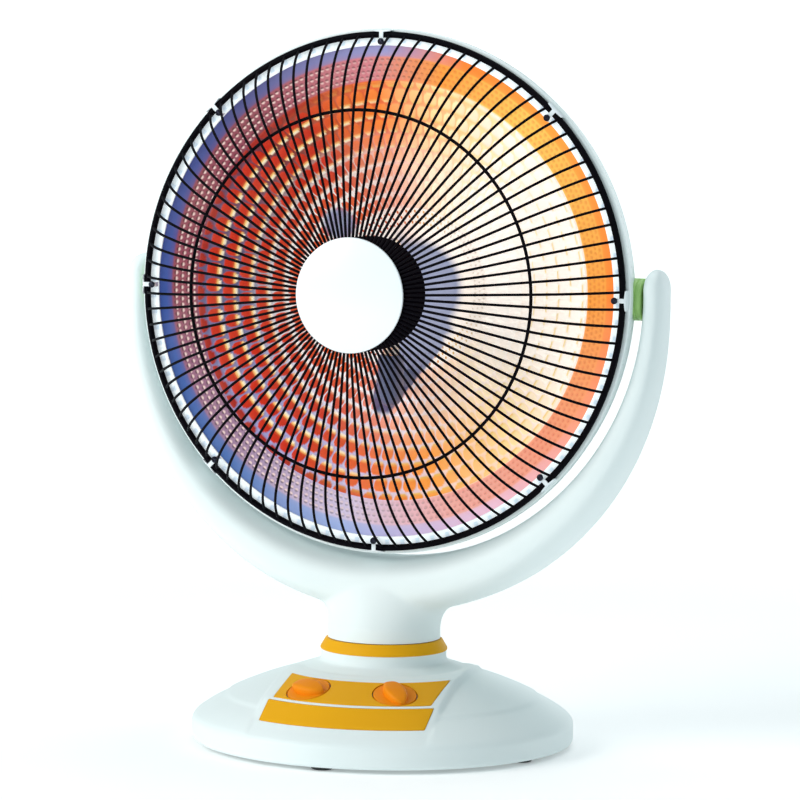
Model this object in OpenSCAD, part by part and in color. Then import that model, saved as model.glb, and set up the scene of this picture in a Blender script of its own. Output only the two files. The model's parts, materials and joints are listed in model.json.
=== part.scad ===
// Dish halogen heater: a reflector head tilts in a ring yoke, which swings on a round base.
// Origin on the floor below the neck axis, +Z up, the head faces -Y, millimetres.

/* [Head] */
// Outer radius of the white front rim
rim_r = 182.3; // [180:0.5:196]
// Thickness of the front rim's wall and flange
rim_t = 1.9; // [1.2:0.1:2.4]
// Width of the front rim's flange, from its outer edge inward
rim_flange_w = 12; // [10:0.5:13]
// Depth of the dish centre behind the head's middle plane
dish_back = 58; // [52:1:62]
// Thickness of the dish metal
dish_t = 0.8; // [0.5:0.1:1.0]
// Depth of the rear housing behind the head's middle plane
housing_back = 84; // [80:1:96]
// Wall of the rear housing
housing_t = 2.2; // [1.6:0.1:3]
// Number of air slots in the rear housing
vent_count = 24; // [12:1:30]

/* [Guard] */
// Wire diameter of the guard's outer ring
guard_ring_d = 4.5; // [3.5:0.1:5]
// Radius of the guard's middle ring
mid_ring_r = 126; // [110:1:136]
// Wire diameter of the middle and hub rings
mid_ring_d = 2.3; // [1.6:0.1:3]
// Number of radial wires
wire_count = 96; // [48:8:96]
// Diameter of a radial wire
wire_d = 1.9; // [1.4:0.1:2.2]
// Height of the radial wires over the outer ring, at the middle ring
wire_rise_mid = 40.3; // [34:0.5:46]
// Height of the radial wires over the outer ring, at the hub disc
wire_rise_hub = 51.3; // [48:0.5:56]
// Radius of the white hub disc
hub_r = 39.5; // [34:0.5:44]
// Number of clips that hold the guard
clip_count = 8; // [4:1:12]
// Width of a guard clip's outer leg
clip_w = 14; // [10:1:18]
// Width of a guard clip's tongue, which passes between two radial wires
clip_tongue_w = 4.5; // [4:0.5:6]

/* [Lamp] */
// Radius of the lamp holder
holder_r = 9; // [7.5:0.5:11]
// Height of the lamp holder
holder_h = 36; // [30:1:38]
// Radius of the quartz lamp tube
lamp_r = 6; // [4.5:0.5:7]
// Length of the quartz lamp tube
lamp_h = 84; // [60:1:90]

/* [Yoke] */
// Gap between the front rim and the inside of the yoke
yoke_gap = 4.2; // [3.4:0.2:8]
// Thickness of a yoke arm at the pivots
arm_t = 14.5; // [14:0.5:20]
// Thickness of the yoke at its lowest point
yoke_bottom_t = 39; // [34:0.5:44]
// Width of a yoke arm, front to back
arm_w = 34; // [32:1:40]
// Width of the yoke at its lowest point
yoke_bottom_w = 76; // [70:1:84]
// Wall of the yoke mouldings
yoke_wall = 2.5; // [2:0.1:3]
// Distance of the tilt axis behind the head's middle plane
tilt_back = 7; // [4:0.5:9]
// Radius of the green pivot boss
boss_r = 14.5; // [13:0.5:15.5]
// Radius of the pivot axle
axle_r = 4; // [3:0.25:5]

/* [Neck] */
// Radius of the yoke's neck
neck_r = 39.5; // [36:0.5:44]
// Height of the neck between the neck ring and the underside of the yoke
neck_h = 17.2; // [15:0.2:26]
// Height of the amber neck ring
neck_ring_h = 8; // [7:0.5:12]
// Outer radius of the swivel spindle
spindle_r = 11; // [9:0.5:12]
// Radius of the cable way through the spindle
spindle_bore_r = 7; // [4:0.5:7.5]

/* [Base] */
// Radius of the base
base_r = 134; // [130:1:150]
// Height of the base's neck top over the floor
base_h = 66; // [64:1:76]
// Wall of the base cover
base_wall = 2.5; // [2:0.1:3]
// Clearance between the base and the floor
floor_gap = 3; // [2.5:0.5:6]
// Turn of the base's front about the neck axis, degrees
base_turn = 6.5; // [-10:0.5:10]
// Half width of the raised front platform
platform_half_w = 63.5; // [61:0.5:67]
// Height of the platform over the dome at its inner end
platform_rise = 3.3; // [1.5:0.1:4]
// Distance of the lower panel's outer edge from the base's rim
panel_inset = 14.7; // [13:0.1:17]
// Width of the lower panel, front to back
lower_panel_w = 16.1; // [14:0.1:17]
// Width of the upper panel, front to back
upper_panel_w = 29.6; // [29:0.1:31]
// Half width of the panels
panel_half_w = 57.2; // [52:0.2:59]
// Width of the white rib between the panels
panel_rib = 2.6; // [2:0.1:3.4]
// Distance of the ballast plate's outer edge from the base's rim
ballast_inset = 30; // [29:1:38]

/* [Controls] */
// Radius of a control knob
knob_r = 14.5; // [12:0.5:14.5]
// Angle of each knob from the base's front, degrees
knob_side = 21; // [18:0.5:24]
// Height of a knob's grip over its disc
grip_h = 7.5; // [5:0.5:10]
// Turn of the power knob's grip, degrees
power_grip_turn = -10; // [-90:5:90]
// Turn of the timer knob's grip, degrees
timer_grip_turn = -74; // [-90:5:90]

/* [Swing drive] */
// Teeth that a full sector gear would have
sector_teeth = 60; // [56:1:60]
// Teeth of the motor pinion
pinion_teeth = 15; // [14:1:16]
// Gear module
gear_module = 1; // [0.9:0.05:1]
// Height of the gears
gear_h = 6; // [5:0.5:7]
// Radius of the swing motor
motor_r = 24.5; // [22:0.5:25]
// Height of the swing motor
motor_h = 17; // [14:0.5:17]

/* [Tip switch] */
// Distance of the tip switch from the base's rim
tip_inset = 49; // [47:0.5:51]
// Radius of the plunger's foot
plunger_r = 4.5; // [3.5:0.5:5]
// Travel of the plunger when the heater is lifted
plunger_travel = 6; // [4:0.5:6]

/* [Hidden] */
$fn = 48;
running_fit = 0.05;
seat_gap = 0.3;
skin_gap = 0.25;
tiny = 0.01;

// Head: r is the radius and f the distance forward of the head's middle plane
edge_f = 14.3;
dish_nose = 30;
dish_edge_r = rim_r - 10.3;
dish_slope = (edge_f + dish_back) / (norm([dish_edge_r, dish_nose]) - dish_nose);
function dish_f(r) = dish_slope * (sqrt(r * r + dish_nose * dish_nose) - dish_nose) - dish_back;
rim_front = dish_f(dish_edge_r) + seat_gap + rim_t;
rim_depth = 7.2;
rim_back = rim_front - rim_depth;
lip_r = rim_r - rim_t - 2.4;
guard_f = rim_front + guard_ring_d / 2 + skin_gap;
guard_r = rim_r - 2.3 - guard_ring_d / 2;
screw_place_r = guard_r - guard_ring_d / 2 - 2.6;
head_screw_r = 1.4;
head_screw_low = rim_front - 8;

// Yoke and neck
yoke_in_r = rim_r + yoke_gap;
yoke_bottom_y = 10;
tip_from = 92;
tip_to = 96.2;
neck_z = base_h + neck_ring_h + seat_gap;
head_z = neck_z + neck_h + yoke_bottom_t + yoke_in_r;
neck_floor_t = 3.7;
cover_split_y = tilt_back + 9;
yoke_round = 2.6;
yoke_screw_angles = [-62, -30, 30, 62];
yoke_screw_r = 1.5;

// Base: profiles are (r, z) from the rim up to the neck
base_neck_r = neck_r + 4.5;
shoulder_z = floor_gap + 14;
dome_shape = [[0.972, 0.071], [0.856, 0.214], [0.656, 0.398], [0.422, 0.571], [0.211, 0.714],
    [0.089, 0.806], [0.022, 0.898], [0, 1]];
dome = [for (p = dome_shape) [base_neck_r + p[0] * (base_r - base_neck_r),
    shoulder_z + p[1] * (base_h - shoulder_z)]];
dome_fine = smooth(dome, 3);
dome_up = reversed(dome_fine);
function dome_z(r) = lookup(r, dome_up);
panel_out_r = base_r - panel_inset;
rib_out_r = panel_out_r - lower_panel_w;
panel_mid_r = rib_out_r - panel_rib;
panel_in_r = panel_mid_r - upper_panel_w;
crest_r = (panel_mid_r + rib_out_r) / 2;
upper_slope = 20.8;
crest_z = dome_z(panel_in_r) + platform_rise - (crest_r - panel_in_r) * tan(upper_slope);
platform_in_r = panel_in_r - 13;
platform = [[base_r - 2, shoulder_z + 2.5], [base_r - 5.5, shoulder_z + 5],
    [panel_out_r, dome_z(panel_out_r) - 0.6], [crest_r, crest_z],
    [panel_in_r, dome_z(panel_in_r) + platform_rise], [platform_in_r, dome_z(platform_in_r) + 1.2]];
platform_up = reversed(platform);
function platform_z(r) = lookup(r, platform_up);
platform_back = 32;
ceiling_t = 4;
front_back = -panel_in_r * 0.2;
ballast_r = base_r - ballast_inset;
ballast_in_r = ballast_r - 42;
tip_place_r = base_r - tip_inset;
block_place_r = base_r - 52;
panel_t = 1.6;
plate_t = 2.5;
plate_top = floor_gap + plate_t;
foot_r = 8;
foot_place_r = base_r - 14;
foot_count = 5;
foot_turn = -4;
boss_place_r = base_r - 24;
boss_angles = [45, 135, 225, 315];

// Knob places in the base's own frame
knob_floor = 3.4;
knob_clear = 0.4;
knob_place_r = (panel_in_r + panel_mid_r) / 2;
knob_z = platform_z(knob_place_r);
shaft_r = 3;
shaft_len = 16;
control_depth = 8.2;
control_plate = [34, 25, 1.5];

// Swing drive
bush_flange_r = 22;
bush_flange_h = 4;
bush_r = spindle_r + 3;
bush_low = 14;
gear_z = 33;
hub_gear_r = spindle_r + 4;
sector_r = gear_module * sector_teeth / 2;
pinion_r = gear_module * pinion_teeth / 2;
gear_gap = 0.1;
gear_place = sector_r + pinion_r + gear_gap;
gear_ratio = sector_teeth / pinion_teeth;
sector_span = 8;
motor_z = 27;
bracket_t = 1.5;
motor_shaft_r = 2.5;
ear_place = motor_r + 6;
thread_r = spindle_r - 1;

// Tip switch
stem_r = 3;
flange_z = plate_top + plunger_travel + 2.5;
flange_h = 2;
chamber_r = 6.2;
chamber_top = 25;
switch_top = 34;

white = [0.95, 0.97, 0.97];
mint = [0.80, 0.88, 0.86];
amber = [0.90, 0.66, 0.16];
orange = [0.98, 0.62, 0.12];
green = [0.52, 0.74, 0.36];
black = [0.06, 0.06, 0.07];
steel = [0.72, 0.73, 0.75];
gold = [0.95, 0.72, 0.40];

// Path tools: a shell is the band between a path and the same path moved sideways
function reversed(list) = [for (i = [len(list) - 1:-1:0]) list[i]];
function edge_normal(a, b) = let (d = b - a) [-d[1], d[0]] / norm(d);
function side_step(path, i, dist) =
    let (last = len(path) - 1,
        n1 = edge_normal(path[max(i - 1, 0)], path[max(i, 1)]),
        n2 = edge_normal(path[min(i, last - 1)], path[min(i + 1, last)]))
    path[i] + dist * (n1 + n2) / (1 + n1 * n2);
function shifted(path, dist) = [for (i = [0:len(path) - 1]) side_step(path, i, dist)];
function curve_point(a, b, c, d, t) =
    0.5 * (2 * b + (c - a) * t + (2 * a - 5 * b + 4 * c - d) * t * t
    + (3 * b - a - 3 * c + d) * t * t * t);
function smooth(path, steps) =
    let (last = len(path) - 1)
    concat([for (i = [0:last - 1], s = [0:steps - 1])
        curve_point(path[max(i - 1, 0)], path[i], path[i + 1], path[min(i + 2, last)], s / steps)],
        [path[last]]);

// Frames
module head_frame() { translate([0, 0, head_z]) rotate([90, 0, 0]) children(); }
module base_frame() { rotate([0, 0, base_turn]) children(); }
module at_tilt_axis() { translate([0, tilt_back, head_z]) rotate([0, 90, 0]) children(); }
module mirrored(left) { mirror([left ? 1 : 0, 0, 0]) children(); }
module ring(r, d) { rotate_extrude($fn = 96) translate([r, 0]) circle(d = d, $fn = 24); }
module tube(r_out, r_in, h) {
    difference() {
        cylinder(r = r_out, h = h);
        translate([0, 0, -tiny]) cylinder(r = r_in, h = h + 2 * tiny);
    }
}
module knob_frame(side) {
    base_frame() rotate([0, 0, side * knob_side]) translate([0, -knob_place_r, knob_z])
        rotate([upper_slope, 0, 0]) children();
}

// Base cover: a dome with a raised platform in front, open below
rim_path = [[base_r - 2, floor_gap], [base_r, floor_gap + 2], [base_r, shoulder_z]];
cover_path = concat(rim_path, dome_fine);
cover_low = floor_gap - 1;
module turned(path) { rotate_extrude($fn = 96) polygon(path); }
function filled(path, low) = concat(path, [[0, path[len(path) - 1][1]], [0, low], [path[0][0], low]]);
module platform_slab(half_w, back) {
    translate([-half_w, -base_r - 1, 0]) cube([2 * half_w, base_r + 1 + back, base_h]);
}
module cover_solid() {
    difference() {
        turned(filled(cover_path, floor_gap));
        intersection() {
            turned([[panel_in_r, base_h + 1], [panel_in_r, shoulder_z - 5], [base_r + 1, shoulder_z - 5],
                [base_r + 1, base_h + 1]]);
            platform_slab(platform_half_w, front_back);
        }
    }
    intersection() {
        turned(concat(rim_path, platform, [[0, platform_z(platform_in_r)], [0, floor_gap]]));
        platform_slab(platform_half_w, platform_back);
    }
}
module cover_room() {
    top_z = base_h - 4;
    inner = shifted(cover_path, base_wall);
    room = [for (p = inner) if (p[1] < top_z) p];
    difference() {
        turned(concat([[room[0][0], cover_low]], room, [[room[len(room) - 1][0], top_z], [0, top_z],
            [0, cover_low]]));
        platform_ceiling();
    }
}
module platform_ceiling() {
    low = shifted(platform, ceiling_t);
    intersection() {
        turned(concat(platform, reversed([for (p = low) if (p[1] > shoulder_z - ceiling_t) p])));
        platform_slab(platform_half_w, front_back);
    }
}
module panel_band(r_in, r_out, top, depth) {
    a = [r_in, platform_z(r_in)];
    b = [r_out, platform_z(r_out)];
    n = edge_normal(b, a);
    turned([b - top * n, a - top * n, a + depth * n, b + depth * n]);
}
module panel_shape(r_in, r_out, half_w, top, depth) {
    intersection() {
        panel_band(r_in, r_out, top, depth);
        platform_slab(half_w, -panel_in_r * 0.3);
    }
}
module cover_boss(angle) {
    rotate([0, 0, angle]) translate([boss_place_r, 0, 0]) children();
}
module base_cover() {
    color(white) base_frame() difference() {
        union() {
            difference() {
                cover_solid();
                cover_room();
            }
            for (a = boss_angles) cover_boss(a)
                translate([0, 0, plate_top]) cylinder(r = 5, h = dome_z(boss_place_r) - plate_top - 2);
            translate([0, 0, base_h - bush_low]) cylinder(r = bush_r + 3, h = bush_low - 1);
        }
        panel_shape(panel_in_r - skin_gap, panel_mid_r + skin_gap, panel_half_w + skin_gap, 8, panel_t);
        panel_shape(rib_out_r - skin_gap, panel_out_r + skin_gap, panel_half_w + 2 + skin_gap, 8,
            panel_t);
        for (s = [-1, 1]) rotate([0, 0, -base_turn]) knob_frame(s)
            translate([0, 0, -12]) cylinder(r = knob_r + knob_clear, h = 30);
        for (a = boss_angles) cover_boss(a)
            translate([0, 0, plate_top - tiny]) cylinder(r = 1.5, h = 12, $fn = 24);
        translate([0, 0, base_h - bush_low - 1]) cylinder(r = bush_r, h = bush_low + 2);
        inlet_frame(base_r + 2) cylinder(r = inlet_r, h = 12);
        inlet_frame(base_r + 2)
            cylinder(r = inlet_flange_r + 0.2, h = base_r + 2.1 - inlet_face + inlet_flange_h);
    }
}
inlet_z = floor_gap + 8.5;
inlet_r = 4.5;
inlet_bore_r = 3.4;
inlet_flange_r = inlet_r + 1.5;
inlet_flange_h = 1.3;
inlet_face = base_r - 0.2;
inlet_len = 12;
module inlet_frame(y) { translate([0, y, inlet_z]) rotate([90, 0, 0]) children(); }
module cord_inlet() {
    collar_at = inlet_face - base_r + base_wall + 2 * seat_gap;
    color(mint) base_frame() inlet_frame(inlet_face) difference() {
        union() {
            cylinder(r = inlet_flange_r, h = inlet_flange_h);
            cylinder(r = inlet_r - running_fit, h = inlet_len);
            translate([0, 0, collar_at]) cylinder(r = inlet_r + 0.8, h = 2);
        }
        translate([0, 0, -1]) cylinder(r = inlet_bore_r, h = inlet_len + 2);
    }
}
module base_plate() {
    color(mint) base_frame() difference() {
        translate([0, 0, floor_gap]) cylinder(r = base_r - base_wall - 2.6, h = plate_t, $fn = 96);
        for (a = boss_angles) cover_boss(a) {
            cylinder(r = 1.8, h = 10, $fn = 24);
            translate([0, 0, floor_gap - 1]) cylinder(r = 4.2, h = 2.05, $fn = 24);
        }
        for (k = [0:foot_count - 1]) foot_place(k) cylinder(r = 3, h = 10, $fn = 24);
        translate([0, tip_place_r, 0]) cylinder(r = plunger_r + 0.4, h = 10);
    }
}
module base_screws() {
    color(steel) base_frame() for (a = boss_angles) cover_boss(a) {
        translate([0, 0, floor_gap + 0.2]) cylinder(r = 3.6, h = 0.8, $fn = 24);
        translate([0, 0, floor_gap + 1]) cylinder(r = 1.45, h = 12, $fn = 24);
    }
}
module foot_place(k) {
    rotate([0, 0, foot_turn + k * 360 / foot_count]) translate([0, -foot_place_r, 0]) children();
}
module rubber_feet() {
    color(black) base_frame() for (k = [0:foot_count - 1]) foot_place(k) {
        cylinder(r1 = foot_r - 1, r2 = foot_r, h = floor_gap, $fn = 32);
        translate([0, 0, floor_gap - 1]) cylinder(r = 2.9, h = plate_t + 1, $fn = 24);
        translate([0, 0, plate_top + tiny]) cylinder(r = 3.8, h = 1.2, $fn = 24);
    }
}
module ballast_plate() {
    low = plate_top;
    color(steel) base_frame() rotate([0, 0, 192]) rotate_extrude(angle = 156, $fn = 96)
        translate([ballast_in_r, low]) square([ballast_r - ballast_in_r, 7]);
}
module upper_panel() {
    color(amber) base_frame() difference() {
        panel_shape(panel_in_r, panel_mid_r, panel_half_w, 0.3, panel_t - 0.05);
        for (s = [-1, 1]) rotate([0, 0, -base_turn]) knob_frame(s)
            translate([0, 0, -12]) cylinder(r = knob_r + knob_clear, h = 30);
    }
}
module lower_panel() {
    color(amber) base_frame() panel_shape(rib_out_r, panel_out_r, panel_half_w + 2, 0.3, panel_t - 0.05);
}
module neck_ring() {
    top_r = neck_r + 1.2;
    bottom_r = base_neck_r + 0.3;
    color(amber) translate([0, 0, base_h]) rotate_extrude($fn = 96)
        polygon([[bottom_r - 6, 0], [bottom_r, 0], [bottom_r, 1], [top_r, neck_ring_h - 0.6],
            [top_r - 0.6, neck_ring_h], [bottom_r - 6, neck_ring_h]]);
}
module swivel_bush() {
    color(mint) difference() {
        union() {
            translate([0, 0, base_h]) cylinder(r = bush_flange_r, h = bush_flange_h);
            translate([0, 0, base_h - bush_low]) cylinder(r = bush_r - running_fit, h = bush_low);
        }
        translate([0, 0, base_h - bush_low - 1])
            cylinder(r = spindle_r + running_fit, h = bush_low + bush_flange_h + 2);
    }
}

// Controls under the upper panel
module control_body(half_x, half_y, height) {
    difference() {
        union() {
            translate([-control_plate[0] / 2, -control_plate[1] / 2, -control_depth - control_plate[2]])
                cube(control_plate);
            translate([-half_x, -half_y, -control_depth - control_plate[2] - height])
                cube([2 * half_x, 2 * half_y, height]);
        }
        translate([0, 0, -control_depth - shaft_len])
            cylinder(r = shaft_r + running_fit, h = shaft_len + 1);
    }
}
module power_switch() { color(black) knob_frame(-1) control_body(14, 13, 17); }
module timer_unit() { color(steel) knob_frame(1) control_body(17, 13, 15); }
module knob(grip_turn) {
    lens_r = 21;
    lens_shift = lens_r - 7.6;
    translate([0, 0, -knob_floor]) cylinder(r = knob_r, h = knob_floor + 0.7);
    translate([0, 0, -control_depth - shaft_len + 2])
        cylinder(r = shaft_r, h = shaft_len + control_depth - knob_floor - 1);
    rotate([0, 0, grip_turn]) intersection() {
        cylinder(r = knob_r - 0.6, h = grip_h + 0.7);
        translate([0, lens_shift, 0]) cylinder(r = lens_r, h = grip_h + 1, $fn = 64);
        translate([0, -lens_shift, 0]) cylinder(r = lens_r, h = grip_h + 1, $fn = 64);
        translate([0, 0, grip_h + 0.7 - 26]) rotate([90, 0, 0])
            cylinder(r = 26, h = 40, center = true, $fn = 64);
    }
}
module power_knob() { color(orange) knob_frame(-1) knob(power_grip_turn); }
module timer_knob() { color(orange) knob_frame(1) knob(timer_grip_turn); }
module terminal_block() {
    size = [16, 40, 14];
    pitch = 9.6;
    color(white) base_frame() rotate([0, 0, 142])
        translate([block_place_r, -size[1] / 2, plate_top]) difference() {
            cube(size);
            for (k = [0:3]) translate([size[0] / 2, (size[1] - 3 * pitch) / 2 + k * pitch, 6])
                cylinder(r = 2.4, h = 10, $fn = 24);
        }
}

// Swing drive: a sector on the spindle meshes with the motor's pinion behind the neck
pressure = 20;
function inv_angle(r, r_b) = r <= r_b ? 0 : let (c = acos(r_b / r)) tan(c) * 180 / PI - c;
function flank_half(r, r_p, teeth, backlash) =
    let (r_b = r_p * cos(pressure))
    90 / teeth + inv_angle(r_p, r_b) - inv_angle(r, r_b) - backlash / r_p * 180 / PI;
function tooth_radii(r_p, m) = [r_p - 1.25 * m, r_p - 0.7 * m, r_p, r_p + 0.45 * m, r_p + 0.9 * m];
function tooth(r_p, teeth, m, at) =
    let (radii = tooth_radii(r_p, m))
    concat([for (r = radii) polar(r, at - flank_half(r, r_p, teeth, 0.06))],
        [for (r = reversed(radii)) polar(r, at + flank_half(r, r_p, teeth, 0.06))]);
function polar(r, a) = [r * cos(a), r * sin(a)];
function gear_outline(r_p, teeth, m, from, to, at) =
    [for (k = [from:to]) each tooth(r_p, teeth, m, at + k * 360 / teeth)];
pinion_dir = 90 + base_turn;
sector_step = 360 / sector_teeth;
nearest_tooth = 90 + round(base_turn / sector_step) * sector_step;
pinion_gap_at = pinion_dir + 180 + (pinion_dir - nearest_tooth) * gear_ratio;
module sector_gear() {
    color(white) translate([0, 0, gear_z]) difference() {
        union() {
            linear_extrude(gear_h) polygon(concat([[0, 0]],
                gear_outline(sector_r, sector_teeth, gear_module, -sector_span, sector_span, 90)));
            cylinder(r = hub_gear_r, h = base_h - bush_low - seat_gap - gear_z);
        }
        translate([0, 0, -1]) cylinder(r = spindle_r + 0.02, h = 40);
    }
}
module motor_pinion() {
    color(white) rotate([0, 0, pinion_dir]) translate([gear_place, 0, 0]) {
        translate([0, 0, gear_z]) rotate([0, 0, -pinion_dir]) linear_extrude(gear_h)
            polygon(gear_outline(pinion_r, pinion_teeth, gear_module, 0, pinion_teeth - 1,
                pinion_gap_at + 180 / pinion_teeth));
        translate([0, 0, motor_z - 7]) cylinder(r = motor_shaft_r, h = gear_z - motor_z + 7 + tiny);
    }
}
module motor_frame() { base_frame() translate([0, gear_place, 0]) children(); }
module swing_motor() {
    color(steel) motor_frame() difference() {
        union() {
            translate([0, 0, motor_z - motor_h]) cylinder(r = motor_r, h = motor_h);
            translate([-ear_place - 5, -5, motor_z - 1.2]) cube([2 * ear_place + 10, 10, 1.2]);
        }
        translate([0, 0, motor_z - 8]) cylinder(r = motor_shaft_r + running_fit, h = 20);
        for (s = [-1, 1]) translate([s * ear_place, 0, 0]) cylinder(r = 1.8, h = 40, $fn = 24);
    }
}
module motor_bracket() {
    half = ear_place + 7;
    color(steel) base_frame() difference() {
        union() {
            translate([-half, gear_place - 16, motor_z]) cube([2 * half, 32, bracket_t]);
            for (s = [-1, 1]) {
                translate([s * (half - 0.75) - 0.75, gear_place - 12, plate_top])
                    cube([1.5, 24, motor_z + bracket_t - plate_top]);
                translate([s * (half + 4) - 5, gear_place - 12, plate_top]) cube([10, 24, 1.5]);
            }
        }
        translate([0, gear_place, 0]) cylinder(r = 6, h = 40);
        cylinder(r = spindle_r + 8, h = 40);
        for (s = [-1, 1]) translate([s * ear_place, gear_place, 0]) cylinder(r = 1.8, h = 40, $fn = 24);
    }
}
module motor_screws() {
    color(steel) motor_frame() for (s = [-1, 1]) translate([s * ear_place, 0, motor_z - 5]) {
        cylinder(r = 1.6, h = 5 + bracket_t, $fn = 24);
        translate([0, 0, 5 + bracket_t]) cylinder(r = 3, h = 1.8, $fn = 24);
    }
}

// Tip switch: the plunger hangs out by its travel when the heater is lifted
module tip_frame() { base_frame() translate([0, tip_place_r, 0]) children(); }
module tip_switch_body() {
    color(black) tip_frame() difference() {
        translate([-11, -10, plate_top]) cube([22, 20, switch_top - plate_top]);
        translate([0, 0, plate_top - 1]) cylinder(r = chamber_r, h = chamber_top - plate_top + 1);
        cylinder(r = stem_r + running_fit, h = switch_top - 2);
    }
}
module tip_plunger() {
    color(orange) tip_frame() {
        cylinder(r = plunger_r, h = flange_z);
        translate([0, 0, flange_z]) cylinder(r = chamber_r - 0.4, h = flange_h);
        cylinder(r = stem_r, h = switch_top - 3);
    }
}
spring_d = 0.8;
spring_turns = 4;
spring_r = (stem_r + chamber_r) / 2;
spring_low = flange_z + flange_h + 0.1;
spring_rings = spring_turns * 10;
spring_rise = (chamber_top - 0.1 - spring_low - spring_d) / spring_rings;
function spring_point(i, k) =
    let (a = i * 36, b = k * 60 + 30, r = spring_r + spring_d / 2 * cos(b))
    [r * cos(a), r * sin(a), spring_low + spring_d / 2 + i * spring_rise + spring_d / 2 * sin(b)];
module tip_spring() {
    points = [for (i = [0:spring_rings], k = [0:5]) spring_point(i, k)];
    sides = [for (i = [0:spring_rings - 1], k = [0:5]) let (a = i * 6 + k, b = i * 6 + (k + 1) % 6)
        each [[a, a + 6, b], [b, a + 6, b + 6]]];
    ends = [[0, 1, 2, 3, 4, 5], [for (k = [5:-1:0]) spring_rings * 6 + k]];
    color(steel) tip_frame() polyhedron(points, concat(sides, ends));
}

// Yoke: a rounded section follows the head from tip to tip, thick and wide at the bottom
function low_share(a) = pow(abs(cos(a)), 1.5);
function yoke_out(a) = yoke_in_r + arm_t + (yoke_bottom_t - arm_t) * low_share(a);
function yoke_half_w(a) = arm_w / 2 + (yoke_bottom_w - arm_w) / 2 * low_share(a);
function yoke_y(a) = tilt_back + (yoke_bottom_y - tilt_back) * low_share(a);
function tip_scale(a) =
    abs(a) <= tip_from ? 1 : sqrt(max(0.02, 1 - pow((abs(a) - tip_from) / (tip_to - tip_from), 2)));
function soft(v) = sign(v) * pow(abs(v), 2 / yoke_round);
function yoke_point(a, b, inset) =
    let (mid = (yoke_in_r + yoke_out(a)) / 2,
        half_t = ((yoke_out(a) - yoke_in_r) / 2 - inset) * tip_scale(a),
        half_w = (yoke_half_w(a) - inset) * tip_scale(a),
        r = mid + half_t * soft(cos(b)))
    [r * sin(a), yoke_y(a) + half_w * soft(sin(b)), head_z - r * cos(a)];
module loft(rings, sides) {
    count = len(rings);
    points = [for (ring = rings) each ring];
    walls = [for (i = [0:count - 2], k = [0:sides - 1])
        let (a = i * sides + k, b = i * sides + (k + 1) % sides)
        each [[a, a + sides, b], [b, a + sides, b + sides]]];
    ends = [[for (k = [0:sides - 1]) k], [for (k = [sides - 1:-1:0]) (count - 1) * sides + k]];
    polyhedron(points, concat(walls, ends));
}
tip_steps = [0.3, 0.6, 0.8, 0.94, 1];
yoke_segments = 26;
yoke_step = 2 * tip_from / yoke_segments;
yoke_angles = concat([for (t = reversed(tip_steps)) -tip_from - t * (tip_to - tip_from)],
    [for (i = [0:yoke_segments]) -tip_from + i * yoke_step],
    [for (t = tip_steps) tip_from + t * (tip_to - tip_from)]);
room_segments = 17;
room_angles = [for (i = [0:room_segments]) -tip_from + i * 2 * tip_from / room_segments];
yoke_sides = 20;
room_sides = 12;
module yoke_outer() {
    loft([for (a = yoke_angles) [for (k = [0:yoke_sides - 1]) yoke_point(a, k * 360 / yoke_sides, 0)]],
        yoke_sides);
}
module yoke_room() {
    loft([for (a = room_angles) [for (k = [0:room_sides - 1])
        yoke_point(a, (k + 0.5) * 360 / room_sides, yoke_wall)]], room_sides);
}
neck_straight = 9.7;
neck_flare = 22;
neck_top = neck_z + neck_h + yoke_bottom_t * 0.6;
function neck_ring_points(z, inset, sides) =
    let (h = max(0, (z - neck_z - neck_straight) / (neck_top - neck_z - neck_straight)),
        half_x = neck_r + neck_flare * pow(h, 1.7) - inset,
        half_y = neck_r - 2 * h - inset)
    [for (k = [0:sides - 1]) let (a = k * 360 / sides)
        [half_x * cos(a), yoke_bottom_y * h + half_y * sin(a), z]];
module neck_loft(low, inset, sides) {
    steps = 7;
    mid = neck_z + neck_straight;
    heights = concat([low], [for (i = [0:steps]) mid + i * (neck_top - mid) / steps]);
    loft([for (z = heights) neck_ring_points(z, inset, sides)], sides);
}
module pivot_cuts() {
    for (left = [false, true]) mirrored(left) at_tilt_axis() {
        translate([0, 0, yoke_in_r - 8]) cylinder(r = pivot_flange_r + skin_gap, h = 8 + pivot_flange_h);
        translate([0, 0, yoke_in_r - 8]) cylinder(r = boss_r + 0.5, h = 8);
        cylinder(r = pivot_sleeve_r + running_fit, h = yoke_in_r + arm_t / 2);
        translate([0, 0, washer_at - seat_gap]) cylinder(r = washer_r + 0.4, h = nut_stack + 2 * seat_gap);
    }
}
pivot_flange_r = 8.5;
pivot_flange_h = 1.6;
washer_r = 8;
washer_t = 1;
nut_t = 3.4;
washer_at = yoke_in_r + yoke_wall + 1.35;
nut_stack = washer_t + 0.1 + nut_t;
pivot_sleeve_r = axle_r + 2.4;
reach = 2 * (yoke_in_r + yoke_bottom_t);
module behind(y) { translate([-reach, y, 0]) cube([2 * reach, reach, 2 * reach]); }
function yoke_boss_y(a) = yoke_y(a) - yoke_half_w(a) + yoke_wall / 2;
module yoke_screw_frame(a) {
    mid = (yoke_in_r + yoke_out(a)) / 2;
    translate([mid * sin(a), 0, head_z - mid * cos(a)]) rotate([-90, 0, 0]) children();
}
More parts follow.
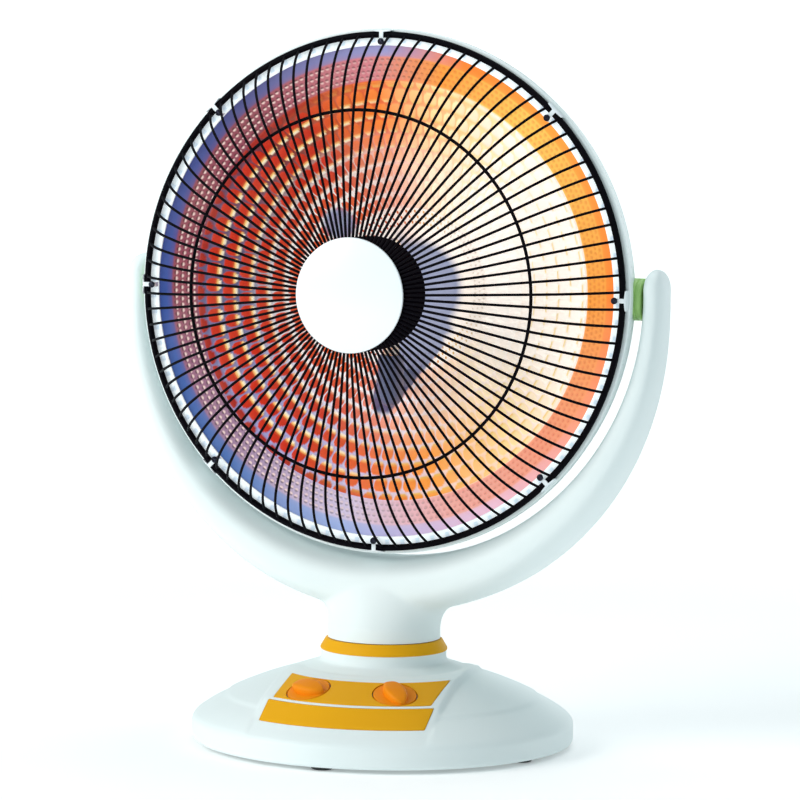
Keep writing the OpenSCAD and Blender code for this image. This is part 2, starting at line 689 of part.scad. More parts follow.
module yoke_front_shell() {
    color(white) difference() {
        union() {
            difference() {
                union() {
                    difference() {
                        yoke_outer();
                        behind(cover_split_y);
                    }
                    neck_loft(neck_z, 0, 32);
                }
                yoke_room();
                neck_loft(neck_z + neck_floor_t, yoke_wall, 20);
            }
            for (a = yoke_screw_angles) yoke_screw_frame(a)
                translate([0, 0, yoke_boss_y(a)]) cylinder(r = 4, h = cover_split_y - yoke_boss_y(a));
        }
        for (a = yoke_screw_angles) yoke_screw_frame(a)
            translate([0, 0, -6]) cylinder(r = yoke_screw_r, h = 60, $fn = 24);
        translate([0, 0, neck_z - 1]) cylinder(r = spindle_bore_r, h = 8);
        for (k = [0:3]) spindle_screw_place(k) cylinder(r = 1.5, h = neck_floor_t + 2, $fn = 24);
        pivot_cuts();
    }
}
module yoke_rear_cover() {
    color(white) difference() {
        intersection() {
            yoke_outer();
            behind(cover_split_y + 0.15);
        }
        yoke_room();
        neck_loft(neck_z - 20, -0.3, 32);
        for (a = yoke_screw_angles) yoke_screw_frame(a) {
            cylinder(r = yoke_screw_r + 0.2, h = 60, $fn = 24);
            translate([0, 0, cover_split_y + 4]) cylinder(r = 3.4, h = 60, $fn = 24);
        }
        pivot_cuts();
    }
}
module yoke_screws() {
    color(steel) for (a = yoke_screw_angles) yoke_screw_frame(a) {
        translate([0, 0, -4]) cylinder(r = yoke_screw_r - 0.05, h = cover_split_y + 8.1, $fn = 24);
        translate([0, 0, cover_split_y + 4.1]) cylinder(r = 3, h = 2, $fn = 24);
    }
}
spindle_flange_r = 31;
spindle_foot = 27.5;
module spindle_screw_place(k) {
    rotate([0, 0, 45 + 90 * k]) translate([spindle_flange_r - 5, 0, neck_z - 0.5]) children();
}
module swivel_spindle() {
    flange_low = base_h + bush_flange_h;
    color(steel) difference() {
        union() {
            translate([0, 0, flange_low]) cylinder(r = spindle_flange_r, h = neck_z - flange_low);
            translate([0, 0, gear_z]) cylinder(r = spindle_r, h = neck_z - gear_z);
            translate([0, 0, spindle_foot]) cylinder(r = thread_r, h = gear_z - spindle_foot + 1);
        }
        translate([0, 0, spindle_foot - 1]) cylinder(r = spindle_bore_r, h = 60);
        for (k = [0:3]) spindle_screw_place(k) translate([0, 0, -6]) cylinder(r = 1.7, h = 12, $fn = 24);
    }
}
module spindle_screws() {
    color(steel) for (k = [0:3]) spindle_screw_place(k) {
        translate([0, 0, -4]) cylinder(r = 1.45, h = 4 + neck_floor_t, $fn = 24);
        translate([0, 0, base_h + bush_flange_h - neck_z - 1]) cylinder(r = 2.8, h = 1.5 - tiny, $fn = 24);
    }
}
module spindle_nut() {
    nut_h = gear_z - spindle_foot - 0.9;
    color(steel) translate([0, 0, gear_z - nut_h]) difference() {
        cylinder(r = spindle_r + 4.5, h = nut_h, $fn = 6);
        translate([0, 0, -1]) cylinder(r = thread_r + 0.02, h = nut_h + 2);
    }
}

// Tilt pivots: each boss turns with the head, its axle runs in a bush in the yoke arm
boss_end = yoke_in_r - 0.5;
boss_start = dish_edge_r - 7;
axle_end = yoke_in_r + arm_t - 4;
module pivot_bush(left) {
    color(green) mirrored(left) at_tilt_axis() translate([0, 0, yoke_in_r - 0.2]) difference() {
        union() {
            cylinder(r = pivot_flange_r, h = pivot_flange_h + 0.2);
            cylinder(r = pivot_sleeve_r, h = yoke_wall + 1.5);
        }
        translate([0, 0, -1]) cylinder(r = axle_r + running_fit, h = 10);
    }
}
module pivot_bush_left() { pivot_bush(true); }
module pivot_bush_right() { pivot_bush(false); }
module pivot_washer(left) {
    color(steel) mirrored(left) at_tilt_axis() translate([0, 0, washer_at])
        tube(washer_r, axle_r + 0.1, washer_t);
}
module pivot_washer_left() { pivot_washer(true); }
module pivot_washer_right() { pivot_washer(false); }
module pivot_boss(left) {
    color(green) mirrored(left) at_tilt_axis() difference() {
        union() {
            translate([0, 0, boss_start]) cylinder(r = boss_r, h = boss_end - boss_start - 1);
            translate([0, 0, boss_end - 1 - tiny]) cylinder(r1 = boss_r, r2 = boss_r - 1, h = 1 + tiny);
        }
        translate([0, 0, boss_start - 1]) cylinder(r = axle_r + 0.02, h = 40);
    }
}
module pivot_boss_left() { pivot_boss(true); }
module pivot_boss_right() { pivot_boss(false); }
module pivot_axle(left) {
    color(steel) mirrored(left) at_tilt_axis() difference() {
        union() {
            translate([0, 0, boss_start - 3]) cylinder(r = axle_r + 3, h = 3 - tiny);
            translate([0, 0, boss_start - 3]) cylinder(r = axle_r, h = axle_end - boss_start + 3);
        }
        translate([0, 0, boss_start - 4]) cylinder(r = axle_r - 1.5, h = 60);
    }
}
module pivot_axle_left() { pivot_axle(true); }
module pivot_axle_right() { pivot_axle(false); }
module pivot_nuts() {
    color(steel) for (left = [false, true]) mirrored(left) at_tilt_axis()
        translate([0, 0, washer_at + washer_t + 0.1]) difference() {
            cylinder(r = washer_r - 0.8, h = nut_t, $fn = 6);
            translate([0, 0, -1]) cylinder(r = axle_r + 0.02, h = nut_t + 2);
        }
}

// Head
housing_shape = [[1, 0], [0.983, 0.183], [0.928, 0.419], [0.829, 0.634], [0.663, 0.828],
    [0.47, 0.957], [0.28, 1]];
housing_front = rim_back - seat_gap;
housing_r = rim_r - 1.3;
housing_path = smooth([for (p = housing_shape)
    [p[0] * housing_r, housing_front - p[1] * (housing_front + housing_back)]], 3);
lip_f = dish_f(dish_edge_r) - dish_t;
vent_in_r = 0.42 * housing_r;
vent_out_r = 0.586 * housing_r;
module rear_housing() {
    inner = shifted(housing_path, -housing_t);
    last = inner[len(inner) - 1];
    lip_low = housing_front - 6;
    lip_in_r = screw_place_r - 2.6;
    outline = concat([[lip_in_r, lip_low], [lip_in_r, dish_f(lip_in_r) - dish_t - seat_gap],
        [dish_edge_r, lip_f - seat_gap], [lip_r + 1.6, lip_f - seat_gap],
        [lip_r + 1.6, housing_front]], housing_path, [[0, -housing_back], [0, last[1]]],
        reversed([for (p = inner) if (p[1] < lip_low - 6) p]), [[lip_r - 1.2, lip_low - 5]]);
    color(white) difference() {
        union() {
            head_frame() rotate_extrude($fn = 96) polygon(outline);
            holder_post_frame() translate([0, 0, 1 - housing_back])
                cylinder(r = post_r + 4, h = housing_back - 1 - post_back);
        }
        for (left = [false, true]) mirrored(left) at_tilt_axis()
            translate([0, 0, boss_start + 2]) cylinder(r = boss_r + skin_gap, h = 40);
        head_frame() for (k = [0:clip_count - 1]) clip_frame(k)
            translate([screw_place_r, 0, 0]) cylinder(r = head_screw_r, h = 30, $fn = 24);
        head_frame() for (k = [0:vent_count - 1]) rotate([0, 0, (k + 0.5) * 360 / vent_count])
            translate([vent_in_r, -2, -housing_back - 5])
            cube([vent_out_r - vent_in_r, 4, housing_back]);
    }
}
module front_rim() {
    color(white) head_frame() difference() {
        rotate_extrude($fn = 96) polygon([[rim_r - rim_flange_w, rim_front - 0.4],
            [rim_r - rim_flange_w + 0.4, rim_front], [rim_r - 1.2, rim_front],
            [rim_r, rim_front - 1.2], [rim_r, rim_back], [rim_r - rim_t - 0.3, rim_back],
            [rim_r - rim_t - 0.3, rim_front - rim_t], [rim_r - rim_flange_w, rim_front - rim_t]]);
        for (k = [0:clip_count - 1]) clip_frame(k)
            translate([screw_place_r, 0, 0]) cylinder(r = head_screw_r + 0.15, h = 30, $fn = 24);
    }
}
dish_rings = 18;
module reflector() {
    front = [for (i = [0:dish_rings]) let (r = dish_edge_r * i / dish_rings) [r, dish_f(r)]];
    outline = concat(front, [[lip_r, dish_f(dish_edge_r)], [lip_r, lip_f],
        [dish_edge_r + 0.3, lip_f]], reversed([for (p = front) if (p[0] < dish_edge_r) p - [0, dish_t]]));
    color(gold) difference() {
        head_frame() rotate_extrude($fn = 96) polygon(outline);
        head_frame() for (k = [0:clip_count - 1]) clip_frame(k)
            translate([screw_place_r, 0, 0]) cylinder(r = head_screw_r + 0.15, h = 30, $fn = 24);
        holder_post_frame() translate([0, 0, -post_back]) cylinder(r = post_r + 0.4, h = 60);
    }
}

// Guard: each radial wire is a flat dome arc and a tight shoulder arc that meet at the middle ring
wire_hub_r = hub_r - 2.5;
mid_f = guard_f + wire_rise_mid;
hub_f = guard_f + wire_rise_hub;
mid_chord = (wire_rise_hub - wire_rise_mid) / (mid_ring_r - wire_hub_r);
chord_angle = atan(mid_chord);
dome_mid_r = (mid_ring_r + wire_hub_r) / 2;
dome_r = dome_mid_r / sin(chord_angle);
dome_angle_mid = asin(mid_ring_r / dome_r);
dome_angle_hub = asin(wire_hub_r / dome_r);
dome_centre_f = mid_f - dome_r * cos(dome_angle_mid);
wire_end_r = guard_r;
fall = wire_rise_mid;
shoulder_chord = norm([wire_end_r - mid_ring_r, fall]);
shoulder_turn = 2 * (atan2(fall, wire_end_r - mid_ring_r) - dome_angle_mid);
shoulder_r = shoulder_chord / (2 * sin(shoulder_turn / 2));
shoulder_stop = (guard_ring_d / 2 + 0.35) / shoulder_r * 180 / PI;
module wire() {
    translate([0, 0, dome_centre_f]) rotate([90, 0, 0]) rotate([0, 0, 90 - dome_angle_mid])
        rotate_extrude(angle = dome_angle_mid - dome_angle_hub, $fn = 64)
        translate([dome_r, 0]) circle(d = wire_d, $fn = 16);
    translate([mid_ring_r - shoulder_r * sin(dome_angle_mid), 0, mid_f - shoulder_r * cos(dome_angle_mid)])
        rotate([90, 0, 0]) rotate([0, 0, 90 - dome_angle_mid - shoulder_turn + shoulder_stop])
        rotate_extrude(angle = shoulder_turn - shoulder_stop, $fn = 64)
        translate([shoulder_r, 0]) circle(d = wire_d, $fn = 16);
}
module guard_wires() {
    color(black) head_frame() for (k = [0:wire_count - 1])
        rotate([0, 0, (k + 0.5) * 360 / wire_count]) wire();
}
module guard_ring() { color(black) head_frame() translate([0, 0, guard_f]) ring(guard_r, guard_ring_d); }
ring_drop = (wire_d + mid_ring_d) / 2 + 0.1;
module guard_mid_ring() {
    color(black) head_frame() translate([0, 0, mid_f - ring_drop / cos(dome_angle_mid)])
        ring(mid_ring_r - ring_drop * sin(dome_angle_mid) * 0.5, mid_ring_d);
}
hub_ring_r = wire_hub_r;
hub_ring_f = hub_f - ring_drop - 0.05;
module guard_hub_ring() {
    color(black) head_frame() translate([0, 0, hub_ring_f]) ring(hub_ring_r, mid_ring_d);
}
module clip_frame(k) { rotate([0, 0, 90 + k * 360 / clip_count]) children(); }
clip_t = 1;
clip_front = guard_f + guard_ring_d / 2 + skin_gap + clip_t;
clip_out_r = guard_r + guard_ring_d / 2 + skin_gap + clip_t;
clip_in_r = screw_place_r - 2.4;
module guard_clips() {
    color(white) head_frame() for (k = [0:clip_count - 1]) clip_frame(k) difference() {
        union() {
            translate([clip_in_r, -clip_tongue_w / 2, rim_front + 0.1])
                cube([clip_out_r - clip_in_r, clip_tongue_w, clip_front - rim_front - 0.1]);
            translate([clip_out_r - clip_t, -clip_w / 2, rim_front + 0.1])
                cube([clip_t, clip_w, clip_front - rim_front - 0.1]);
        }
        translate([clip_in_r + clip_t, -clip_w / 2 - 1, rim_front - 1])
            cube([clip_out_r - clip_in_r - 2 * clip_t, clip_w + 2, clip_front - clip_t - rim_front + 1]);
        translate([screw_place_r, 0, 0]) cylinder(r = head_screw_r + 0.15, h = 60, $fn = 24);
    }
}
module guard_screws() {
    color(black) head_frame() for (k = [0:clip_count - 1]) clip_frame(k)
        translate([screw_place_r, 0, head_screw_low]) {
            cylinder(r = head_screw_r - 0.05, h = clip_front - head_screw_low + tiny, $fn = 24);
            translate([0, 0, clip_front - head_screw_low]) cylinder(r = 2.3, h = 1.6, $fn = 24);
        }
}
disc_t = 1.6;
module hub_disc() {
    dome_h = 1.8;
    steps = 8;
    cap = [for (i = [0:steps]) let (u = i / steps) [hub_r * u, disc_t + dome_h * (1 - u * u)]];
    color(white) head_frame() translate([0, 0, hub_f + wire_d / 2 + 0.05]) rotate_extrude($fn = 96)
        polygon(concat([[0, 0]], cap, [[hub_r, 0]]));
}
cup_depth = 36;
module hub_shield_cup() {
    front = hub_ring_f - mid_ring_d / 2 - 0.1;
    color(black) head_frame() translate([0, 0, front - cup_depth]) difference() {
        cylinder(r = hub_r - 0.1, h = cup_depth, $fn = 96);
        translate([0, 0, -1]) cylinder(r = hub_r - 1.1, h = cup_depth - 0.2, $fn = 96);
    }
}

// Lamp: the quartz tube stands in a holder behind the cup, on a post from the rear housing
holder_top = head_z - 45;
lamp_y = 5;
post_r = 6;
post_z = holder_top - holder_h / 2;
post_back = 60;
module holder_post_frame() { translate([0, 0, post_z]) rotate([90, 0, 0]) children(); }
module lamp_frame(z) { translate([0, lamp_y, z]) children(); }
module lamp_holder() {
    color(mint) lamp_frame(holder_top - holder_h) difference() {
        union() {
            translate([0, 0, holder_r]) cylinder(r = holder_r, h = holder_h - holder_r);
            translate([0, 0, holder_r]) sphere(r = holder_r);
        }
        translate([0, 0, holder_h - 8]) cylinder(r = lamp_r + 0.1, h = 20);
    }
}
module lamp_tube() {
    color(gold) lamp_frame(holder_top - 8 + tiny) difference() {
        union() {
            cylinder(r = lamp_r, h = lamp_h);
            translate([0, 0, lamp_h]) sphere(r = lamp_r);
        }
        translate([0, 0, 6]) cylinder(r = lamp_r - 1, h = lamp_h - 6);
    }
}
module lamp_filament() {
    color(orange) lamp_frame(holder_top - 2 + seat_gap) cylinder(r = 1.6, h = lamp_h - 6.6);
}
module lamp_bracket() {
    start = -lamp_y - holder_r - seat_gap;
    color(steel) holder_post_frame() translate([0, 0, -post_back]) difference() {
        cylinder(r = post_r, h = post_back + start);
        translate([0, 0, -1]) cylinder(r = 1.6, h = 12, $fn = 24);
    }
}
module thermal_cutout() {
    color(steel) head_frame() translate([0, 0, -dish_back - dish_t - 8.6]) cylinder(r = 8, h = 8);
}

base_cover();
base_plate();
ballast_plate();
rubber_feet();
base_screws();
upper_panel();
lower_panel();
neck_ring();
swivel_bush();
motor_bracket();
swing_motor();
motor_screws();
power_switch();
timer_unit();
tip_switch_body();
tip_spring();
tip_plunger();
terminal_block();
cord_inlet();
power_knob();
timer_knob();
motor_pinion();
yoke_front_shell();
yoke_rear_cover();
yoke_screws();
swivel_spindle();
spindle_screws();
spindle_nut();
sector_gear();
pivot_bush_left();
pivot_bush_right();
pivot_washer_left();
pivot_washer_right();
rear_housing();
front_rim();
reflector();
guard_ring();
guard_mid_ring();
guard_hub_ring();
guard_wires();
guard_clips();
guard_screws();
hub_disc();
hub_shield_cup();
lamp_tube();
lamp_filament();
lamp_holder();
lamp_bracket();
thermal_cutout();
pivot_boss_left();
pivot_boss_right();
pivot_axle_left();
pivot_axle_right();
pivot_nuts();
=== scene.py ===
import bpy
import bmesh
import json
import math
import numpy as np
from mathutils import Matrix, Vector


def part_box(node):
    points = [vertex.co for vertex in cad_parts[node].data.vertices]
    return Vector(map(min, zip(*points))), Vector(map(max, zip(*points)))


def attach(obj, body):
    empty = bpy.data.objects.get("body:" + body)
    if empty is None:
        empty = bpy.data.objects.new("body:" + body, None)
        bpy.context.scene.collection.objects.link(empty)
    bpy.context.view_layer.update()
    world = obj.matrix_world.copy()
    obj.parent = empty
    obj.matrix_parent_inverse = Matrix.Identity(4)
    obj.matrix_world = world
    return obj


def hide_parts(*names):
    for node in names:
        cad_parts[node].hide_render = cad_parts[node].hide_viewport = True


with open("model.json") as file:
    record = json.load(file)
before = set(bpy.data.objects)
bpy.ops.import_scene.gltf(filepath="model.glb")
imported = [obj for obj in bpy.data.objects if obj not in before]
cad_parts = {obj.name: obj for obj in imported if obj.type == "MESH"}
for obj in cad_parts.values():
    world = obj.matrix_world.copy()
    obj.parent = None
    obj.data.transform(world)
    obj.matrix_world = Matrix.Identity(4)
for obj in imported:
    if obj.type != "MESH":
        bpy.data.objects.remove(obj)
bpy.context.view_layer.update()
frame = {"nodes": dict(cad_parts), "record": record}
scene = bpy.context.scene
mm = 0.001
print("frame loaded:", len(frame["nodes"]), "nodes")


# Camera: the photo's view, with the whole heater in a square picture
camera = {"place": (960.4, -2355.8, 443.9), "aim": (11.0, -4.2, 241.6), "roll": 0.885, "lens": 164.27,
          "sensor": 36, "near": 0.1, "far": 20}


def setCamera(view):
    data = bpy.data.cameras.new("photoCamera")
    data.lens, data.sensor_width = view["lens"], view["sensor"]
    data.clip_start, data.clip_end = view["near"], view["far"]
    eye = bpy.data.objects.new("photoCamera", data)
    scene.collection.objects.link(eye)
    place, aim = Vector(view["place"]) * mm, Vector(view["aim"]) * mm
    turn = (aim - place).to_track_quat("-Z", "Y").to_matrix().to_4x4()
    turn.translation = place
    eye.matrix_world = turn
    eye.rotation_mode = "XYZ"
    eye.rotation_euler.rotate_axis("Z", math.radians(view["roll"]))
    scene.camera = eye


setCamera(camera)
print("camera set")


# Where the frame puts things, in millimetres
def boxMm(node):
    low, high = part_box(node)
    return np.array(low) / mm, np.array(high) / mm


rimLow, rimHigh = boxMm("front_rim")
hubLow, hubHigh = boxMm("hub_disc")
ringLow, ringHigh = boxMm("guard_ring")
neckLow, neckHigh = boxMm("neck_ring")
axleLow, axleHigh = boxMm("pivot_axle_right")
headZ = (rimLow[2] + rimHigh[2]) / 2
rimR = (rimHigh[0] - rimLow[0]) / 2
rimFront, rimBack = -rimLow[1], -rimHigh[1]
guardWire = ringHigh[1] - ringLow[1]
guardF = -(ringLow[1] + ringHigh[1]) / 2
guardR = (ringHigh[0] - ringLow[0] - guardWire) / 2
hubR = (hubHigh[0] - hubLow[0]) / 2
hubBack = -hubHigh[1]
tiltY = (axleLow[1] + axleHigh[1]) / 2
neckTop, neckFoot = neckHigh[2], neckLow[2]
guardCount = 96
baseTurn = math.radians(6.5)    # the base's front is turned a little to the right


# Looks: every finish is a small node network with its own grain
def mixColours(tree, factor, first, second):
    node = tree.nodes.new("ShaderNodeMix")
    node.data_type = "RGBA"
    tree.links.new(factor, node.inputs["Factor"])
    for socket, value in (("A", first), ("B", second)):
        target = [s for s in node.inputs if s.name == socket and s.type == "RGBA"][0]
        if isinstance(value, (tuple, list)):
            target.default_value = (*value, 1)
        else:
            tree.links.new(value, target)
    return [s for s in node.outputs if s.type == "RGBA"][0]


def remap(tree, value, low, high, outLow, outHigh):
    node = tree.nodes.new("ShaderNodeMapRange")
    tree.links.new(value, node.inputs["Value"])
    for name, number in (("From Min", low), ("From Max", high), ("To Min", outLow), ("To Max", outHigh)):
        node.inputs[name].default_value = number
    return node.outputs["Result"]


def noise(tree, coords, scale, detail=3.0, stretch=(1, 1, 1)):
    mapping = tree.nodes.new("ShaderNodeMapping")
    mapping.inputs["Scale"].default_value = stretch
    tree.links.new(coords, mapping.inputs["Vector"])
    node = tree.nodes.new("ShaderNodeTexNoise")
    node.inputs["Scale"].default_value = scale
    node.inputs["Detail"].default_value = detail
    tree.links.new(mapping.outputs["Vector"], node.inputs["Vector"])
    return node.outputs[0]


def bumpFrom(tree, height, strength, distance):
    node = tree.nodes.new("ShaderNodeBump")
    node.inputs["Strength"].default_value = strength
    node.inputs["Distance"].default_value = distance
    tree.links.new(height, node.inputs["Height"])
    return node.outputs["Normal"]


grains = {"cloud": 14.0, "bumpDeep": 0.0002, "coatRough": 0.12}


def makeLook(name, colour, shade, rough, grain=900.0, bump=0.12, metal=0.0, coat=0.0, spread=0.08,
             stretch=(1, 1, 1), **extra):
    look = bpy.data.materials.new(name)
    look.use_nodes = True
    tree = look.node_tree
    shader = tree.nodes["Principled BSDF"]
    coords = tree.nodes.new("ShaderNodeTexCoord").outputs["Object"]
    wide = noise(tree, coords, grains["cloud"], 2.0, stretch)
    fine = noise(tree, coords, grain, 4.0, stretch)
    tint = mixColours(tree, remap(tree, wide, 0.35, 0.65, 0, 1), colour, shade)
    uneven = remap(tree, fine, 0.3, 0.7, rough - spread / 2, rough + spread / 2)
    tree.links.new(tint, shader.inputs["Base Color"])
    tree.links.new(uneven, shader.inputs["Roughness"])
    tree.links.new(bumpFrom(tree, fine, bump, grains["bumpDeep"]), shader.inputs["Normal"])
    shader.inputs["Metallic"].default_value = metal
    shader.inputs["Coat Weight"].default_value = coat
    shader.inputs["Coat Roughness"].default_value = grains["coatRough"]
    for socket, value in extra.items():
        shader.inputs[socket.replace("_", " ")].default_value = value
    return look


# Each finish: its two colours, its roughness, and what else its shader needs
finishes = {
    "whitePlastic": ((0.84, 0.915, 0.915), (0.82, 0.90, 0.90), 0.45,
        {"grain": 500, "bump": 0.02, "spread": 0.04, "Specular_IOR_Level": 0.25}),
    "whiteEnamel": ((0.88, 0.93, 0.96), (0.86, 0.92, 0.955), 0.22,
        {"grain": 500, "bump": 0.02, "coat": 0.5, "spread": 0.04}),
    "greyPlastic": ((0.55, 0.64, 0.63), (0.50, 0.60, 0.59), 0.55, {"grain": 1400, "bump": 0.35}),
    "amberPlastic": ((0.86, 0.42, 0.008), (0.83, 0.40, 0.007), 0.5,
        {"grain": 1500, "bump": 0.08, "Specular_IOR_Level": 0.1}),
    "orangePlastic": ((0.90, 0.28, 0.004), (0.88, 0.27, 0.004), 0.5,
        {"grain": 1100, "bump": 0.04, "Specular_IOR_Level": 0.15}),
    "greenPlastic": ((0.38, 0.64, 0.20), (0.35, 0.60, 0.17), 0.40, {"grain": 1300, "bump": 0.06}),
    "acetal": ((0.82, 0.82, 0.78), (0.78, 0.78, 0.74), 0.42, {"grain": 900, "bump": 0.1}),
    "blackWire": ((0.001, 0.001, 0.003), (0.003, 0.002, 0.004), 0.6,
        {"grain": 1600, "bump": 0.05, "Specular_IOR_Level": 0.05}),
    "cupBlack": ((0.002, 0.002, 0.004), (0.004, 0.003, 0.006), 0.9,
        {"grain": 1200, "bump": 0.05, "Specular_IOR_Level": 0.0}),
    # painted reflection: the lamp bracket wears the colour of the shield's dark image in the dish
    "paintedShieldReflection": ((0.19, 0.23, 0.40), (0.15, 0.19, 0.34), 0.6,
        {"grain": 1400, "bump": 0.1, "Specular_IOR_Level": 0.1}),
    "ceramic": ((0.12, 0.14, 0.27), (0.17, 0.19, 0.33), 0.5, {"grain": 2200, "bump": 0.2}),
    "blackPlastic": ((0.02, 0.02, 0.022), (0.03, 0.03, 0.03), 0.5, {"grain": 1500, "bump": 0.4}),
    "rubber": ((0.025, 0.027, 0.027), (0.04, 0.042, 0.042), 0.75, {"grain": 2500, "bump": 0.6}),
    "castWeight": ((0.10, 0.10, 0.11), (0.16, 0.12, 0.09), 0.7, {"grain": 600, "bump": 0.9, "metal": 0.8}),
    "darkScrew": ((0.05, 0.055, 0.08), (0.03, 0.03, 0.05), 0.32, {"grain": 1800, "bump": 0.2, "metal": 0.9}),
    "steel": ((0.62, 0.63, 0.65), (0.52, 0.53, 0.56), 0.32,
        {"grain": 900, "bump": 0.15, "metal": 1.0, "stretch": (1, 1, 12), "spread": 0.18}),
    "filament": ((1.0, 0.42, 0.08), (1.0, 0.30, 0.04), 0.5,
        {"grain": 3000, "bump": 0.3, "Emission_Color": (1.0, 0.36, 0.06, 1),
         "Emission_Strength": 0.5}),
    "quartz": ((1.0, 0.93, 0.80), (1.0, 0.90, 0.74), 0.05,
        {"grain": 400, "bump": 0.05, "spread": 0.03, "Transmission_Weight": 0.92, "IOR": 1.46}),
}
looks = {name: makeLook(name, colour, shade, rough, **rest)
         for name, (colour, shade, rough, rest) in finishes.items()}


def tintedLook(name, glowFrom, glow, warmth, **finish):
    # the mesh carries the tint and the glow, which hold painted reflections, highlights, shade and glow; the
    # look adds the grain
    look = makeLook(name, (1, 1, 1), (1, 1, 1), **finish)
    tree = look.node_tree
    shader = tree.nodes["Principled BSDF"]
    coords = [n for n in tree.nodes if n.type == "TEX_COORD"][0].outputs["Object"]
    tint, shine = tree.nodes.new("ShaderNodeAttribute"), tree.nodes.new("ShaderNodeAttribute")
    tint.attribute_name, shine.attribute_name = "tint", glowFrom
    cloud = remap(tree, noise(tree, coords, 2 * grains["cloud"], 2.0), 0.3, 0.7, 0.0, warmth)
    base = mixColours(tree, cloud, tint.outputs["Color"], (1.0, 0.72, 0.45))
    tree.links.new(base, shader.inputs["Base Color"])
    tree.links.new(shine.outputs["Color"], shader.inputs["Emission Color"])
    shader.inputs["Emission Strength"].default_value = glow
    return look


# the dish glows with its painted reflection colours, though it is no lamp
looks["dishPaintedGlow"] = tintedLook("dishPaintedGlow", "tint", 0.42, 0.06, rough=0.45, grain=1300, bump=0.08,
                                Specular_IOR_Level=0.15)
# the rim's flange has a painted glow and painted reflections of the wires
looks["rimPaintedGlow"] = tintedLook("rimPaintedGlow", "glow", 1.0, 0.0, rough=0.3, grain=500, bump=0.02, coat=0.2)
slotLooks = {"white_plastic": "whitePlastic", "white_metal": "whiteEnamel", "grey_plastic": "greyPlastic",
             "amber_plastic": "amberPlastic", "orange_plastic": "orangePlastic",
             "green_plastic": "greenPlastic", "acetal": "acetal", "black_wire": "blackWire",
             "dish_metal": "dishPaintedGlow", "ceramic": "ceramic", "quartz": "quartz", "filament": "filament",
             "black_plastic": "blackPlastic", "rubber": "rubber", "cast_weight": "castWeight",
             "dark_screws": "darkScrew", "steel": "steel"}
print("looks made:", len(looks))


# Mesh tools: points are in millimetres, in the frame of the part they belong to
def inHead(points):
    p = np.asarray(points, float)
    return np.stack([p[..., 0], -p[..., 2], p[..., 1] + headZ], -1)


def spin(points, turn):
    p = np.asarray(points, float)
    c, s = math.cos(turn), math.sin(turn)
    return np.stack([p[..., 0] * c - p[..., 1] * s, p[..., 0] * s + p[..., 1] * c, p[..., 2]], -1)


def inBase(points):
    return spin(points, baseTurn)


def atPivot(left):
    def place(points):
        p = np.asarray(points, float)
        return np.stack([-p[..., 2] if left else p[..., 2], p[..., 1] + tiltY, headZ - p[..., 0]], -1)
    return place


def asIs(points):
    return np.asarray(points, float)


def fullTurn(count):
    return np.linspace(0, 2 * math.pi, count, endpoint=False)


def ringsMesh(rings, closedRound=True, closedAlong=False, capStart=False, capEnd=False):
    # rings: an array (ring, side, xyz), joined by quads
    count, sides = rings.shape[:2]
    grid = np.arange(count * sides).reshape(count, sides)
    across = np.roll(grid, -1, 1) if closedRound else grid[:, 1:]
    here = grid if closedRound else grid[:, :-1]
    first, second = here[:-1], here[1:]
    firstNext, secondNext = across[:-1], across[1:]
    faces = np.stack([first, firstNext, secondNext, second], -1).reshape(-1, 4).tolist()
    if closedAlong:
        faces += np.stack([here[-1], across[-1], across[0], here[0]], -1).tolist()
    if capStart:
        faces.append(grid[0][::-1].tolist())
    if capEnd:
        faces.append(grid[-1].tolist())
    return rings.reshape(-1, 3), faces


def capped(rings):
    return ringsMesh(rings, capStart=True, capEnd=True)


def revolve(profile, steps=160):
    # profile: (r, z) pairs; a pair at r = 0 closes the middle
    angles = fullTurn(steps)
    r, z = np.array(profile, float).T
    return np.stack([np.outer(r, np.cos(angles)), np.outer(r, np.sin(angles)),
                     np.repeat(z[:, None], steps, 1)], -1)


def rounded(corners, radius, steps=4, closed=False):
    # a path with its corners turned into arcs
    pts = [Vector(c) for c in corners]
    out, count = [], len(pts)
    for i, p in enumerate(pts):
        if not closed and i in (0, count - 1):
            out.append(tuple(p))
            continue
        before, after = pts[i - 1], pts[(i + 1) % count]
        cut = min(radius, (before - p).length * 0.45, (after - p).length * 0.45)
        a = p + (before - p).normalized() * cut
        b = p + (after - p).normalized() * cut
        for k in range(steps + 1):
            t = k / steps
            out.append(tuple((1 - t) ** 2 * a + 2 * t * (1 - t) * p + t * t * b))
    return out


def smoothFaces(mesh, sharp=None):
    mesh.polygons.foreach_set("use_smooth", [True] * len(mesh.polygons))
    if sharp:
        mesh.set_sharp_from_angle(angle=math.radians(sharp))


def turnOutward(mesh, merge=0):
    shape = bmesh.new()
    shape.from_mesh(mesh)
    if merge:
        bmesh.ops.remove_doubles(shape, verts=shape.verts, dist=merge)
    bmesh.ops.recalc_face_normals(shape, faces=shape.faces)
    shape.to_mesh(mesh)
    shape.free()


def linkMesh(name, part, look, place=asIs, sharp=38):
    points, faces = part
    mesh = bpy.data.meshes.new(name)
    mesh.from_pydata((place(points) * mm).tolist(), [], faces)
    turnOutward(mesh, 1e-7)
    smoothFaces(mesh, sharp)
    mesh.materials.append(looks[look])
    piece = bpy.data.objects.new(name, mesh)
    scene.collection.objects.link(piece)
    return piece


def applyModifiers(piece, sharp=38):
    bpy.context.view_layer.update()
    graph = bpy.context.evaluated_depsgraph_get()
    mesh = bpy.data.meshes.new_from_object(piece.evaluated_get(graph))
    piece.modifiers.clear()
    piece.data = mesh
    smoothFaces(mesh, sharp)


def cutBy(piece, cutter, operation="DIFFERENCE"):
    tool = piece.modifiers.new("cut", "BOOLEAN")
    tool.object, tool.operation, tool.solver = cutter, operation, "EXACT"
    applyModifiers(piece)
    bpy.data.objects.remove(cutter)


